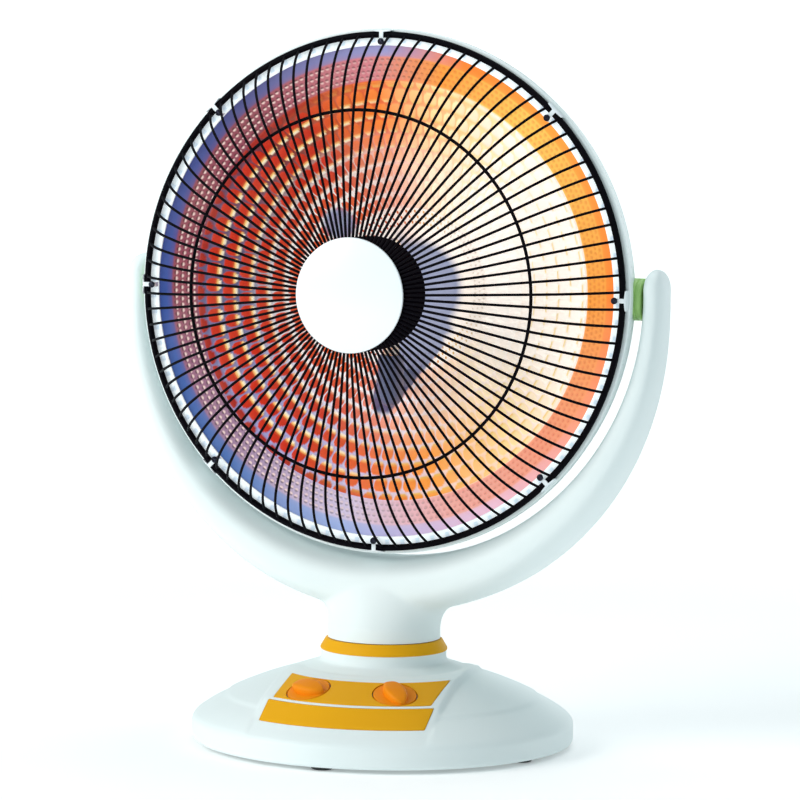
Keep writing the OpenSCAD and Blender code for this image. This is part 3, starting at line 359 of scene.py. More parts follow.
def finishPiece(piece, body, node):
    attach(piece, body)
    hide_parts(node)
    return piece


def makePiece(name, part, look, place, body, node, sharp=38):
    return finishPiece(linkMesh(name, part, look, place, sharp), body, node)


def lathePiece(name, profile, look, place, body, node, steps=160, closed=True):
    part = ringsMesh(revolve(profile, steps), closedAlong=closed)
    return makePiece(name, part, look, place, body, node)


def joined(parts):
    # several (points, faces) as one
    points, faces, start = [], [], 0
    for p, f in parts:
        points.append(np.asarray(p, float).reshape(-1, 3))
        faces += [[i + start for i in face] for face in f]
        start += len(points[-1])
    return np.concatenate(points), faces


def moved(part, offset=(0, 0, 0), turn=0.0):
    points, faces = part
    return spin(np.asarray(points, float).reshape(-1, 3), turn) + np.array(offset, float), faces


def fillIn(path, step, closed=False):
    # the same path with more points, about step apart
    path = np.array(path, float)
    dense = []
    for a, b in zip(path, np.roll(path, -1, 0) if closed else path[1:]):
        parts = max(1, int(np.linalg.norm(b - a) / step))
        dense += [a + (b - a) * k / parts for k in range(parts)]
    return np.array(dense if closed else dense + [path[-1]])


def directions(path):
    step = np.gradient(path, axis=0)
    return step / np.linalg.norm(step, axis=1)[:, None]


def softPower(v, power):
    return np.sign(v) * np.abs(v) ** power


def smoothStep(value):
    t = np.clip(value, 0, 1)
    return t * t * (3 - 2 * t)


def rise(value, start, over):
    # 0 up to start, 1 from start + over on
    return smoothStep((value - start) / over)


def fall(value, start, over):
    # 0 from start on, 1 up to start - over
    return smoothStep((start - value) / over)


def curveThrough(points, steps):
    # Catmull-Rom through the points
    p = np.array(points, float)
    padded = np.concatenate([[p[0]], p, [p[-1]]])
    out = []
    for i in range(len(p) - 1):
        a, b, c, d = padded[i:i + 4]
        for t in np.arange(steps) / steps:
            out.append(0.5 * (2 * b + (c - a) * t + (2 * a - 5 * b + 4 * c - d) * t * t
                              + (3 * b - a - 3 * c + d) * t ** 3))
    return np.array(out + [p[-1]])


# Base: a dome with a raised platform in front, turned to face a little to the right
base = {"rimR": 134.0, "low": 3.0, "shoulderZ": 17.0, "neckR": 44.0, "topZ": 66.0, "wall": 2.5,
        "dome": [(131.5, 20.5), (121.0, 27.5), (103.0, 36.5), (82.0, 45.0), (63.0, 52.0), (52.5, 55.6),
                 (46.4, 57.6), (44.5, 59.6), (44.0, 62.0), (44.0, 66.0)],
        "platform": [(134.0, 17.0), (132.0, 19.5), (128.5, 22.0), (119.3, 27.8), (101.9, 40.6),
                     (71.0, 52.34), (58.0, 55.09)],
        "halfWidth": 63.5, "flank": 3.6, "frontY": -14, "frontOver": 10, "platformIn": 54,
        "platformOver": 8, "leftY": -26, "leftOver": 22, "rightY": 32.0, "rightOver": 5,
        "tierR": 111, "tierOver": 2.4, "tierHigh": 1.1, "tierOut": 128, "tierIn": 60, "tierFade": 30,
        "panelIn": 71.0, "panelMid": 100.6, "ribOut": 103.2, "panelOut": 119.3, "upperHalf": 55.6,
        "lowerHalf": 58.4, "panelDeep": 1.6, "panelProud": 0.3, "gap": 0.3, "lean": 0.07, "steps": 640}


def heightOn(path, r):
    rs, zs = np.array(sorted(path)).T
    return np.interp(r, rs, zs)


def baseProfile():
    skirt = rounded([(base["rimR"] - 6, base["low"]), (base["rimR"] - 1.2, base["low"]),
                     (base["rimR"], base["low"] + 2), (base["rimR"], base["shoulderZ"]), base["dome"][0],
                     base["dome"][1]], 3.0, 5)[:-1]
    dome = curveThrough(base["dome"], 14)
    outer = np.array(skirt)
    dome = dome[dome[:, 0] < outer[-1][0] - 0.3]
    return np.concatenate([outer, dome])


def makeBaseCover():
    profile = baseProfile()
    steps, wall = base["steps"], base["wall"]
    angles = fullTurn(steps)
    r = profile[:, 0][:, None]
    z = profile[:, 1][:, None]
    x, y = r * np.cos(angles), r * np.sin(angles)
    level = heightOn(base["platform"], r) + 0 * x
    # the platform stands out of the dome in front, and reaches back on both sides of the neck
    inside = fall(np.abs(x), base["halfWidth"] + base["flank"] / 2, base["flank"])
    front = fall(y, base["frontY"], base["frontOver"])
    sides = fall(y, np.where(x < 0, base["leftY"], base["rightY"]),
                 np.where(x < 0, base["leftOver"], base["rightOver"]))
    reach = rise(r, base["platformIn"], base["platformOver"])
    onDome = (z > base["shoulderZ"] + 0.5) & (r < base["rimR"] - 0.2)
    raised = np.where(level > z, np.maximum(front, sides), front) * inside * reach
    # a low tier runs round the dome beside it
    tier = fall(r, base["tierR"], base["tierOver"]) * base["tierHigh"] * (1 - inside * front)
    tier = np.where(r < base["tierOut"], tier * rise(r, base["tierIn"], base["tierFade"]), 0)
    z = z + np.where(onDome, raised * (level - z), 0) + tier
    rings = np.stack([x, y, z + 0 * x], -1)
    inner = revolve([(base["neckR"] - wall, base["topZ"]), (base["neckR"] - wall, base["topZ"] - 8),
                     (60, 48), (100, 32), (base["rimR"] - wall - 2, 17),
                     (base["rimR"] - wall - 3.4, base["low"])], steps)
    part = ringsMesh(np.concatenate([rings, inner]), closedAlong=True)
    return linkMesh("baseCover", part, "whitePlastic", inBase, 50)


def panelMesh(rIn, rOut, half, top, deep, edge=0.45):
    # a curved plate between two radii, with rounded edges, seen from above as x and radius
    platformZ = heightOn(base["platform"], rIn)
    slope = (heightOn(base["platform"], rOut) - platformZ) / (rOut - rIn)
    normalR, normalZ = -slope / math.hypot(1, slope), 1 / math.hypot(1, slope)
    cornerR, step = 1.0, 1.6
    loops = [(deep, 0.0), (edge, 0.0)]
    loops += [(edge * (1 - math.sin(a)), edge * (1 - math.cos(a))) for a in np.linspace(0.3, math.pi / 2, 5)]
    outline = rounded([(-half, rIn), (half, rIn), (half, rOut), (-half, rOut)], cornerR, 5, True)
    dense = fillIn(outline, step, True)
    centre, span = np.array([0, (rIn + rOut) / 2]), (rOut - rIn) / 2

    def lift(scale, level):
        xs, rs = ((dense - centre) * scale + centre).T
        xs = xs + base["lean"] * (base["panelOut"] - rs)
        ys = -np.sqrt(np.maximum(rs ** 2 - xs ** 2, 1))
        z = platformZ + slope * (rs - rIn) + normalZ * level
        shift = normalR * level
        return np.stack([xs * (1 + shift / rs), ys * (1 + shift / rs), z + 0 * xs], -1)

    def inset(by):
        return np.array([(half - by) / half, (span - by) / span])

    rings = [lift(inset(by), top - depth) for depth, by in loops]
    rings += [lift(inset(edge) * share, top) for share in np.linspace(0.92, 0.08, 11)]
    return capped(np.array(rings))


# Knobs: a disc sunk in the upper panel, with a rounded fin across it
knobs = {"placeR": 85.8, "side": math.radians(21), "r": 14.8, "clear": 0.9, "proud": 0.2, "sunk": -3.4,
         "grip": 5.8, "halfWidth": 7.4, "shoulder": 4.6, "wideness": 0.6, "roundness": 0.36,
         "slopeRise": 52.34 - 40.73, "slopeRun": 101.55 - 71.0, "turn": {"power": -10, "timer": -74}}
knobs["z"] = float(heightOn(base["platform"], knobs["placeR"]))
knobs["slope"] = math.atan2(knobs["slopeRise"], knobs["slopeRun"])


def atKnob(side):
    def place(points):
        p = np.asarray(points, float)
        c, s = math.cos(knobs["slope"]), math.sin(knobs["slope"])
        q = np.stack([p[..., 0], p[..., 1] * c - p[..., 2] * s - knobs["placeR"],
                      p[..., 1] * s + p[..., 2] * c + knobs["z"]], -1)
        return inBase(spin(q, side * knobs["side"]))
    return place


def cutRound(piece, side, radius, low, high):
    part = capped(revolve([(radius, low), (radius, high)], 96))
    cutBy(piece, linkMesh("cutter", part, "blackPlastic", atKnob(side)))


def makePanel(name, node, rIn, rOut, half):
    part = panelMesh(rIn, rOut, half, base["panelProud"], base["panelDeep"])
    panel = linkMesh(name, part, "amberPlastic", inBase)
    if node == "upper_panel":
        for side in (-1, 1):
            cutRound(panel, side, knobs["r"] + knobs["clear"], -6, 8)
    finishPiece(panel, "root", node)


def makeBase():
    cover = makeBaseCover()
    gap, above, under = base["gap"], 9, 0.2
    panels = (("upperPanel", "upper_panel", base["panelIn"], base["panelMid"], base["upperHalf"]),
              ("lowerPanel", "lower_panel", base["ribOut"], base["panelOut"], base["lowerHalf"]))
    for name, node, rIn, rOut, half in panels:
        part = panelMesh(rIn - gap, rOut + gap, half + gap, above, above + base["panelDeep"] + under, 0.05)
        cutBy(cover, linkMesh("cutter", part, "whitePlastic", inBase))
    for side in (-1, 1):
        cutRound(cover, side, knobs["r"] + knobs["clear"], -3.6, 20)
    applyModifiers(cover, 50)
    finishPiece(cover, "root", "base_cover")
    for panel in panels:
        makePanel(*panel)
    top = neckTop - neckFoot
    ring = rounded([(38.6, 0.0), (44.6, 0.0), (44.7, 1.2), (40.9, top - 0.4), (38.6, top)], 0.7, 4, True)
    lathePiece("neckRing", ring, "amberPlastic", lambda p: asIs(p) + [0, 0, neckFoot], "root",
               "neck_ring", steps=240)


def finMesh(turn, along=46, across=26):
    # a grid over half the fin's section at each place along it, closed below the disc's face
    s = np.sin(np.linspace(-math.pi / 2, math.pi / 2, along))[:, None]
    a = np.linspace(0, math.pi, across)[None, :]
    share = np.maximum(1 - s ** 2, 0.0004)
    wide = knobs["halfWidth"] * share ** knobs["wideness"]
    high = knobs["grip"] * share ** knobs["roundness"]
    y = wide * softPower(np.cos(a), 2 / knobs["shoulder"])
    z = high * np.sin(a) ** (2 / knobs["shoulder"]) + knobs["proud"] - 0.3
    top = np.stack([(knobs["r"] - 0.5) * s + 0 * y, y, z], -1)
    low = np.stack([top[:, [-1, 0], 0], top[:, [-1, 0], 1], 0 * s + [-0.8, -0.8]], -1)
    fin = capped(np.concatenate([top, low], 1))
    return moved(fin, turn=math.radians(turn))


def makeKnob(name, side, turn, body):
    r, sunk, face = knobs["r"], knobs["sunk"], knobs["proud"]
    disc = rounded([(0, sunk), (r, sunk), (r, face), (0, face)], 0.9, 5)
    place = atKnob(side)
    knob = linkMesh(name, ringsMesh(revolve(disc, 96)), "orangePlastic", place)
    cutBy(knob, linkMesh("grip", finMesh(turn), "orangePlastic", place), "UNION")
    finishPiece(knob, body, body)


makeBase()
makeKnob("powerKnob", -1, knobs["turn"]["power"], "power_knob")
makeKnob("timerKnob", 1, knobs["turn"]["timer"], "timer_knob")
print("base made")


# Feet: rubber pads with a soft edge and a ring tread
feet = {"count": 5, "placeR": 120.0, "turn": -4.0, "high": 3.0,
        "tread": [(0, 0.4), (3.0, 0.4), (3.4, 0), (6.0, 0), (6.9, 0.3), (7.5, 1.1)], "r": 8.0}


def makeFeet():
    profile = feet["tread"] + [(feet["r"], feet["high"]), (0, feet["high"])]
    foot = ringsMesh(revolve(rounded(profile, 0.3, 2), 48))
    parts = []
    for k in range(feet["count"]):
        a = math.radians(feet["turn"] + k * 360 / feet["count"] - 90)
        parts.append(moved(foot, (feet["placeR"] * math.cos(a), feet["placeR"] * math.sin(a), 0)))
    makePiece("rubberFeet", joined(parts), "rubber", inBase, "root", "rubber_feet")


makeFeet()
print("feet made")


# Yoke: a rounded section follows the head from tip to tip and grows into the neck
yoke = {"innerR": rimR + 4.2, "armT": 14.5, "lowT": 39.0, "armW": 34.0, "lowW": 76.0, "growth": 1.5,
        "tipFrom": 92.0, "tipTo": 96.2, "round": 2.6, "neckR": 39.5, "neckZ": neckTop + 0.3, "neckH": 17.2,
        "straight": 9.7, "flare": 22.0, "flarePower": 1.7, "midY": 10.0, "splitY": 16.0, "voxel": 1.5,
        "bossR": 8.75, "blendZ": 92, "blendHigh": 12, "blendX": 26, "blendOver": 14, "evenTurns": 8,
        "turns": 44, "groove": 0.12, "grooveWide": 0.7, "grooveDeep": 0.6}
yoke["neckTop"] = yoke["neckZ"] + yoke["neckH"] + yoke["lowT"] * 0.6


def yokeRings(count=190, sides=56):
    ends = yoke["tipFrom"] + (yoke["tipTo"] - yoke["tipFrom"]) * np.sin(np.linspace(0.05, math.pi / 2, 9))
    angles = np.concatenate([-ends[::-1], np.linspace(-yoke["tipFrom"], yoke["tipFrom"], count), ends])
    rings = []
    for a in angles:
        c = abs(math.cos(math.radians(a))) ** yoke["growth"]
        s = math.sin(math.radians(a))
        past = max(0, (abs(a) - yoke["tipFrom"]) / (yoke["tipTo"] - yoke["tipFrom"]))
        small = math.sqrt(max(0.02, 1 - past ** 2))
        thick = yoke["armT"] + (yoke["lowT"] - yoke["armT"]) * c
        wide = (yoke["armW"] + (yoke["lowW"] - yoke["armW"]) * c) / 2 * small
        mid = yoke["innerR"] + thick / 2
        b = fullTurn(sides)
        r = mid + thick / 2 * small * softPower(np.cos(b), 2 / yoke["round"])
        y = tiltY + (yoke["midY"] - tiltY) * c + wide * softPower(np.sin(b), 2 / yoke["round"])
        rings.append(np.stack([r * s, y, headZ - r * math.cos(math.radians(a))], -1))
    return np.array(rings)


def neckRings(count=30, sides=96):
    start = yoke["neckZ"] + yoke["straight"]
    heights = np.concatenate([[yoke["neckZ"]], np.linspace(yoke["neckZ"] + 1, start, 6)[:-1],
                              np.linspace(start, yoke["neckTop"], count)])
    a = fullTurn(sides)
    rings = []
    for z in heights:
        h = max(0, (z - start) / (yoke["neckTop"] - start))
        halfX, halfY = yoke["neckR"] + yoke["flare"] * h ** yoke["flarePower"], yoke["neckR"] - 2 * h
        rings.append(np.stack([halfX * np.cos(a), yoke["midY"] * h + halfY * np.sin(a), z + 0 * a], -1))
    return np.array(rings)


def makeYoke():
    ring = capped(yokeRings())
    neck = capped(neckRings())
    whole = linkMesh("yokeBody", ring, "whitePlastic")
    cutBy(whole, linkMesh("neck", neck, "whitePlastic"), "UNION")
    shrink = whole.modifiers.new("voxels", "REMESH")
    shrink.mode, shrink.voxel_size, shrink.use_smooth_shade = "VOXEL", yoke["voxel"] * mm, True
    applyModifiers(whole)
    softenYoke(whole)
    hole = capped(revolve([(yoke["bossR"], -9), (yoke["bossR"], 1.6)], 64))
    socket = moved(hole, (0, 0, yoke["innerR"]))
    for left in (False, True):
        cutBy(whole, linkMesh("socket", socket, "whitePlastic", atPivot(left)))
    splitYoke(whole)


def softenYoke(whole):
    # the blend where the neck grows into the ring is smoothed most
    mesh = whole.data
    count = len(mesh.vertices)
    co = np.empty(count * 3)
    mesh.vertices.foreach_get("co", co)
    p = co.reshape(-1, 3) / mm
    edges = np.empty(len(mesh.edges) * 2, int)
    mesh.edges.foreach_get("vertices", edges)
    a, b = edges.reshape(-1, 2).T
    degree = np.bincount(np.concatenate([a, b]), minlength=count)[:, None]
    soft = np.exp(-((p[:, 2] - yoke["blendZ"]) / yoke["blendHigh"]) ** 2)
    soft = (soft * rise(np.abs(p[:, 0]), yoke["blendX"], yoke["blendOver"]))[:, None]
    for turn in range(yoke["turns"]):
        total = np.zeros_like(p)
        np.add.at(total, a, p[b])
        np.add.at(total, b, p[a])
        step = total / degree - p
        even = turn < yoke["evenTurns"]    # first everywhere, in and out by turns
        share = 0.5 * (np.maximum(soft, 1) if even else soft)
        p = p + share * step * (-0.9 if even and turn % 2 else 1.0)
    # the neck's foot stays a sharp cylinder down to the amber ring
    r = np.hypot(p[:, 0], p[:, 1])
    foot = (p[:, 2] < yoke["neckZ"] + 6) & (r > yoke["neckR"] - 3)
    p[:, :2] = np.where(foot[:, None], p[:, :2] / np.maximum(r, 1)[:, None] * yoke["neckR"], p[:, :2])
    p[:, 2] = np.where(p[:, 2] < yoke["neckZ"] + 1.3, yoke["neckZ"], p[:, 2])
    mesh.vertices.foreach_set("co", (p * mm).ravel())
    mesh.update()


def splitYoke(whole):
    # front shell and rear cover, with a fine groove where they meet
    for name, node, sign in (("yokeFrontShell", "yoke_front_shell", 1),
                             ("yokeRearCover", "yoke_rear_cover", -1)):
        part = whole.copy()
        part.data = whole.data.copy()
        part.name = name
        scene.collection.objects.link(part)
        shape = bmesh.new()
        shape.from_mesh(part.data)
        limit = yoke["splitY"] - sign * yoke["groove"]
        for cut, clear in ((limit - sign * yoke["grooveWide"], False), (limit, True)):
            bmesh.ops.bisect_plane(shape, geom=shape.verts[:] + shape.edges[:] + shape.faces[:],
                                   plane_co=(0, cut * mm, 0), plane_no=(0, sign, 0), clear_outer=clear)
        rim = [e for e in shape.edges if e.is_boundary]
        for v in {v for e in rim for v in e.verts}:
            v.co -= Vector((v.normal.x, 0, v.normal.z)) * yoke["grooveDeep"] * mm
        bmesh.ops.holes_fill(shape, edges=rim, sides=0)
        bmesh.ops.recalc_face_normals(shape, faces=shape.faces)
        shape.to_mesh(part.data)
        shape.free()
        smoothFaces(part.data, 35)
        finishPiece(part, "yoke", node)
    bpy.data.objects.remove(whole)


makeYoke()
print("yoke made")


# Head shell: the rim, and the housing behind the dish
head = {"dishEdge": rimR - 10.3, "dishBack": 58.0, "nose": 30.0, "slope": 0.5, "housingBack": 84.0,
        "housing": [(1, 0), (0.983, 0.183), (0.928, 0.419), (0.829, 0.634), (0.663, 0.828), (0.47, 0.957),
                    (0.28, 1)],
        "vents": 24, "ventIn": 76.0, "ventOut": 106.0, "ventHalf": 2.0, "wall": 2.2, "flange": 12.0,
        "flangeThick": 1.9, "bossHole": 14.9}
# The flange's painted glow and its pale painted reflections of the wires, as shares of the step between two
# wires
rimPaintedLight = {"shine": (0.40, 0.43, 0.45), "white": (0.84, 0.915, 0.915), "blue": (0.35, 0.55, 0.82),
            "wide": 6.5, "from": 0.55, "to": 0.85, "inner": 2.0, "share": 0.6}


def dishF(r):
    return head["slope"] * (np.sqrt(r * r + head["nose"] ** 2) - head["nose"]) - head["dishBack"]


def paint(mesh, name, colours):
    layer = mesh.color_attributes.new(name, "FLOAT_COLOR", "POINT")
    layer.data.foreach_set("color", np.concatenate([colours, np.ones((len(colours), 1))], 1).ravel())


def makeRim():
    # the flange inside the guard's ring has a faint painted glow and pale blue painted reflections beside the
    # wires
    flange, thick, r = head["flange"], head["flangeThick"], rimR
    inner, wall = r - flange, r - thick - 0.3
    face = [(inner + k, rimFront) for k in (0, 2.2, 3.0, 5.6, 6.4, 7.4)] + [(r, rimFront)]
    profile = rounded([(inner, rimFront - thick)] + face + [(r, rimBack), (wall, rimBack),
                      (wall, rimFront - thick)], 1.1, 5, True)
    rim = lathePiece("frontRim", profile, "rimPaintedGlow", inHead, "head", "front_rim",
                     steps=960)
    co = np.empty(len(rim.data.vertices) * 3)
    rim.data.vertices.foreach_get("co", co)
    x, y, z = co.reshape(-1, 3).T / mm
    far, turn = np.hypot(x, z - headZ), np.arctan2(z - headZ, x)
    band = ((far < inner + rimPaintedLight["wide"]) & (-y > rimFront - 0.4)).astype(float)[:, None]
    step = (turn / (2 * math.pi) * guardCount) % 1
    onWireReflection = (step > rimPaintedLight["from"]) & (step < rimPaintedLight["to"]) & (far > inner + rimPaintedLight["inner"])
    wireReflection = band * onWireReflection.astype(float)[:, None] * rimPaintedLight["share"]
    paint(rim.data, "tint", np.array(rimPaintedLight["white"]) * (1 - wireReflection) + np.array(rimPaintedLight["blue"]) * wireReflection)
    paint(rim.data, "glow", band * (1 - 0.5 * wireReflection) * np.array(rimPaintedLight["shine"]))


def ventMesh(turn):
    half, ends = head["ventHalf"], np.linspace(-math.pi / 2, math.pi / 2, 9)
    outline = [(head["ventOut"] - half + half * math.cos(t), half * math.sin(t)) for t in ends]
    outline += [(head["ventIn"] + half - half * math.cos(t), -half * math.sin(t)) for t in ends]
    levels = (-head["housingBack"] - 4, -head["housingBack"] + 40)
    ring = np.array([[(x, y, z) for x, y in outline] for z in levels])
    return moved(capped(ring), turn=turn)


def makeHousing():
    front = rimBack - 0.3
    reach = front + head["housingBack"]
    outer = curveThrough([(a * (rimR - 1.3), front - b * reach) for a, b in head["housing"]], 10)
    outer = np.concatenate([outer, [(0, -head["housingBack"])]])
    slope = directions(outer)
    inner = outer + np.stack([slope[:, 1], -slope[:, 0]], -1) * head["wall"]
    inner = inner[inner[:, 1] < front - 8]
    lip = [(rimR - 3.4, front - 8), (rimR - 3.4, front + 0.2), (rimR - 1.9, front + 0.2)]
    profile = np.concatenate([outer, [(0, inner[-1][1])], inner[::-1], lip])
    part = ringsMesh(revolve(profile, 320), closedAlong=True)
    shell = linkMesh("rearHousing", part, "whitePlastic", inHead)
    vents = [ventMesh((k + 0.5) * 2 * math.pi / head["vents"]) for k in range(head["vents"])]
    cutBy(shell, linkMesh("slots", joined(vents), "whitePlastic", inHead))
    hole = [(head["bossHole"], 150), (head["bossHole"], 200)]
    plug = capped(revolve(hole, 64))
    for left in (False, True):
        cutBy(shell, linkMesh("plug", plug, "whitePlastic", atPivot(left)))
    finishPiece(shell, "head", "rear_housing")


makeRim()
makeHousing()
print("head shell made")


# Dish: rows of pressed cells inside four staggered rows of dots, with the lamp's glow painted on as painted
# reflections, highlights and shade
dish = {"columns": 78, "rows": 9, "cellIn": 57.5, "cellOut": 152.0, "cellEdge": 146.4, "cellHigh": 1.3,
        "dotColumns": 240, "dotIn": 147.2, "dotOut": 162.4, "dotRows": 4, "dotHigh": 0.5,
        "innerDots": 104, "innerIn": 45.0, "innerOut": 57.0, "innerRows": 3,
        "middle": [0.001, 6, 14, 22, 30, 38], "edgeR": [163.6, 166.5, 169.5],
        "backR": list(range(164, 3, -8)) + [0.001], "around": 1680, "lip": 180.0, "thick": 0.8,
        "backTint": 0.6}
# Its tints, painted reflections of the lamp, as they show on a screen, and where they stand: degrees round
# from the right
tints = {
    "white": (255, 251, 246), "cream": (255, 243, 232), "straw": (255, 218, 155), "gold": (247, 190, 88),
    "amber": (244, 152, 60), "orange": (240, 126, 48), "flame": (222, 98, 50), "red": (190, 40, 18),
    "maroon": (118, 46, 48), "wine": (140, 68, 84), "rose": (202, 122, 130), "coral": (240, 150, 118),
    "peach": (250, 205, 175), "pink": (231, 162, 152), "blush": (226, 182, 202), "mauve": (150, 120, 150),
    "lilac": (198, 186, 212), "slate": (90, 90, 128), "lavender": (150, 148, 194), "violet": (74, 80, 138),
    "blue": (58, 84, 156), "sea": (74, 110, 172), "sky": (150, 170, 216), "haze": (125, 137, 172),
    "shade": (66, 76, 116), "honey": (225, 188, 92), "spark": (255, 246, 214), "petal": (250, 222, 214)}
glow = {
    "body": {
        0: "cream", 50: "cream", 75: "straw", 95: "orange", 120: "red", 238: "red", 262: "flame",
        285: "amber", 312: "straw", 340: "cream", 360: "cream"},
    "gap": {
        0: "cream", 30: "cream", 60: "straw", 95: "flame", 130: "maroon", 180: "slate", 230: "lavender",
        265: "lilac", 300: "peach", 335: "cream", 360: "cream"},
    "dots": {
        0: "amber", 50: "gold", 75: "amber", 95: "rose", 130: "wine", 180: "wine", 225: "mauve",
        260: "lilac", 290: "pink", 320: "coral", 360: "amber"},
    "edge": {
        0: "orange", 45: "amber", 70: "orange", 90: "lavender", 130: "violet", 180: "blue", 225: "sea",
        260: "sky", 300: "blush", 330: "coral", 360: "orange"}}
# The shield's dark image in the dish, a painted reflection: how far it reaches at each height, and a patch
# above the shield
image = {"y": [-88, -80, -67, -41, -20, 4, 28, 40], "right": [-9, -4, 4, 23, 30, 33, 24, 0],
         "leftY": [-88, -78, -52, -20, 10, 38], "left": [-20, -24, -22, -25, -28, -12],
         "low": -90, "top": 38, "soft": 3, "softEnds": 4, "patchX": -53, "patchY": 45, "patchR": 11,
         "deepY": -40, "share": 0.92}


def shade(name):
    c = np.array(tints[name]) / 255
    return np.where(c < 0.04, c / 12.92, ((c + 0.055) / 1.055) ** 2.4)


def glowAt(zone, degrees):
    table = np.array([shade(name) for name in glow[zone].values()])
    return np.stack([np.interp(degrees, list(glow[zone]), table[:, c]) for c in range(3)], -1)


def blend(under, over, share):
    share = np.asarray(share, float)[..., None]
    return under * (1 - share) + over * share


def cellWave(turn, r, columns, rIn, rOut, rows):
    # place inside the nearest cell: u round, v outward, both -1..1; each second row is shifted half a cell
    row = (r - rIn) / (rOut - rIn) * rows
    index = np.floor(row)
    v = (row - index) * 2 - 1
    phase = turn / (2 * math.pi) * columns + 0.5 * (index % 2)
    u = (phase - np.floor(phase)) * 2 - 1
    return u, v, (r >= rIn) & (r <= rOut)


def dotHeight(u, v, inside, wide):
    return np.where(inside, np.clip(1 - (u / wide) ** 2 - (v / wide) ** 2, 0, 1), 0)


def dishRadii():
    inner = np.linspace(dish["innerIn"], dish["innerOut"], dish["innerRows"] * 6 + 1)
    cells = np.linspace(dish["cellIn"], dish["cellOut"], dish["rows"] * 9 + 1)
    dots = np.linspace(dish["dotIn"], dish["dotOut"], dish["dotRows"] * 7 + 1)
    return np.concatenate([dish["middle"], inner, cells[cells < dish["cellEdge"]], [dish["cellEdge"], 146.9],
                           dots, dish["edgeR"], [head["dishEdge"], 173.0, dish["lip"]]])


def makeDish():
    r = dishRadii()[:, None]
    turn = fullTurn(dish["around"])[None, :]
    r, turn = r + 0 * turn, turn + 0 * r
    f = dishF(np.minimum(r, head["dishEdge"]))
    u, v, inCell = cellWave(turn, r, dish["columns"], dish["cellIn"], dish["cellOut"], dish["rows"])
    inCell = inCell & (r < dish["cellEdge"])
    bowl = np.clip(1 - (np.abs(u) / 0.94) ** 2.6 - (np.abs(v) / 0.94) ** 2.6, 0, 1)
    f = f + np.where(inCell, dish["cellHigh"] * np.sqrt(bowl), 0)
    du, dv, inDot = cellWave(turn, r, dish["dotColumns"], dish["dotIn"], dish["dotOut"], dish["dotRows"])
    inner = cellWave(turn, r, dish["innerDots"], dish["innerIn"], dish["innerOut"], dish["innerRows"])
    dot, innerDot = dotHeight(du, dv, inDot, 0.92), dotHeight(*inner, 0.6)
    f = f + dish["dotHigh"] * (dot + innerDot)
    front = np.stack([r * np.cos(turn), r * np.sin(turn), f], -1)
    backR = np.array([dish["lip"], head["dishEdge"]] + dish["backR"])[:, None] + 0 * turn[:1]
    backF = dishF(np.minimum(backR, head["dishEdge"])) - dish["thick"]
    back = np.stack([backR * np.cos(turn[:1]), backR * np.sin(turn[:1]), backF], -1)
    points, faces = ringsMesh(np.concatenate([front, back]), closedAlong=True)
    tint = dishPaintedLight(r, turn, v, inCell, bowl, dv, dot, innerDot)
    tint = np.concatenate([tint, np.full(back.shape, dish["backTint"])]).reshape(-1, 3)
    mesh = bpy.data.meshes.new("dishReflector")
    mesh.from_pydata((inHead(points) * mm).tolist(), [], faces)
    paint(mesh, "tint", tint)
    turnOutward(mesh)
    smoothFaces(mesh)
    mesh.materials.append(looks["dishPaintedGlow"])
    piece = bpy.data.objects.new("dishReflector", mesh)
    scene.collection.objects.link(piece)
    finishPiece(piece, "head", "reflector")


def cellPaintedLight(r, degrees, left, body, gap, v, inCell, bowl):
    # each pressed cell: on the left a painted highlight towards the lamp, on the right a thin golden arc of
    # painted reflection; near the lamp a painted glow whitens cells and gaps
    nearLamp = fall(r, 122, 44)
    gap = blend(gap, shade("white"), nearLamp * left * 0.85)
    body = blend(body, shade("flame"), fall(r, 104, 36) * left * 0.75)
    body = blend(body, shade("maroon"), rise(r, dish["cellEdge"] - 6, 3) * left * 0.45)
    pressed = np.clip(bowl * 5, 0, 1)
    lit = pressed * left * (r < dish["cellEdge"] - 5)
    paintedGoldGlow, paintedHighlight = fall(v, -0.30, 0.16) * lit, fall(v, -0.52, 0.14) * lit
    arc = fall(v, -0.50, 0.14) * rise(r, 84, 18) * (1 - left)
    arc = arc * (1 - 0.7 * np.exp(-((degrees - 45) / 20) ** 2)) * 0.8
    cell = blend(body, shade("honey"), arc)
    cell = blend(cell, shade("gold"), paintedGoldGlow * (1 - nearLamp))
    cell = blend(cell, blend(shade("spark") + 0 * body, shade("white"), nearLamp), paintedHighlight)
    tint = blend(gap, cell, pressed * inCell)
    return blend(tint, shade("white"), nearLamp * (1 - left) * 0.45), body, gap


def paintedReflectionShare(x, y):
    # the shield's painted reflection, drawn out down to the lamp holder
    rightEdge = np.interp(y, image["y"], image["right"])
    leftEdge = np.interp(y, image["leftY"], image["left"])
    inside = smoothStep((rightEdge - x) / image["soft"] + 0.5)
    inside = inside * smoothStep((x - leftEdge) / image["soft"] + 0.5)
    inside = inside * rise(y, image["low"], image["softEnds"]) * fall(y, image["top"], image["softEnds"])
    patch = np.hypot((x - image["patchX"]) / image["patchR"], (y - image["patchY"]) / image["patchR"])
    return np.maximum(inside, fall(patch, 1.25, 0.5)) * image["share"]


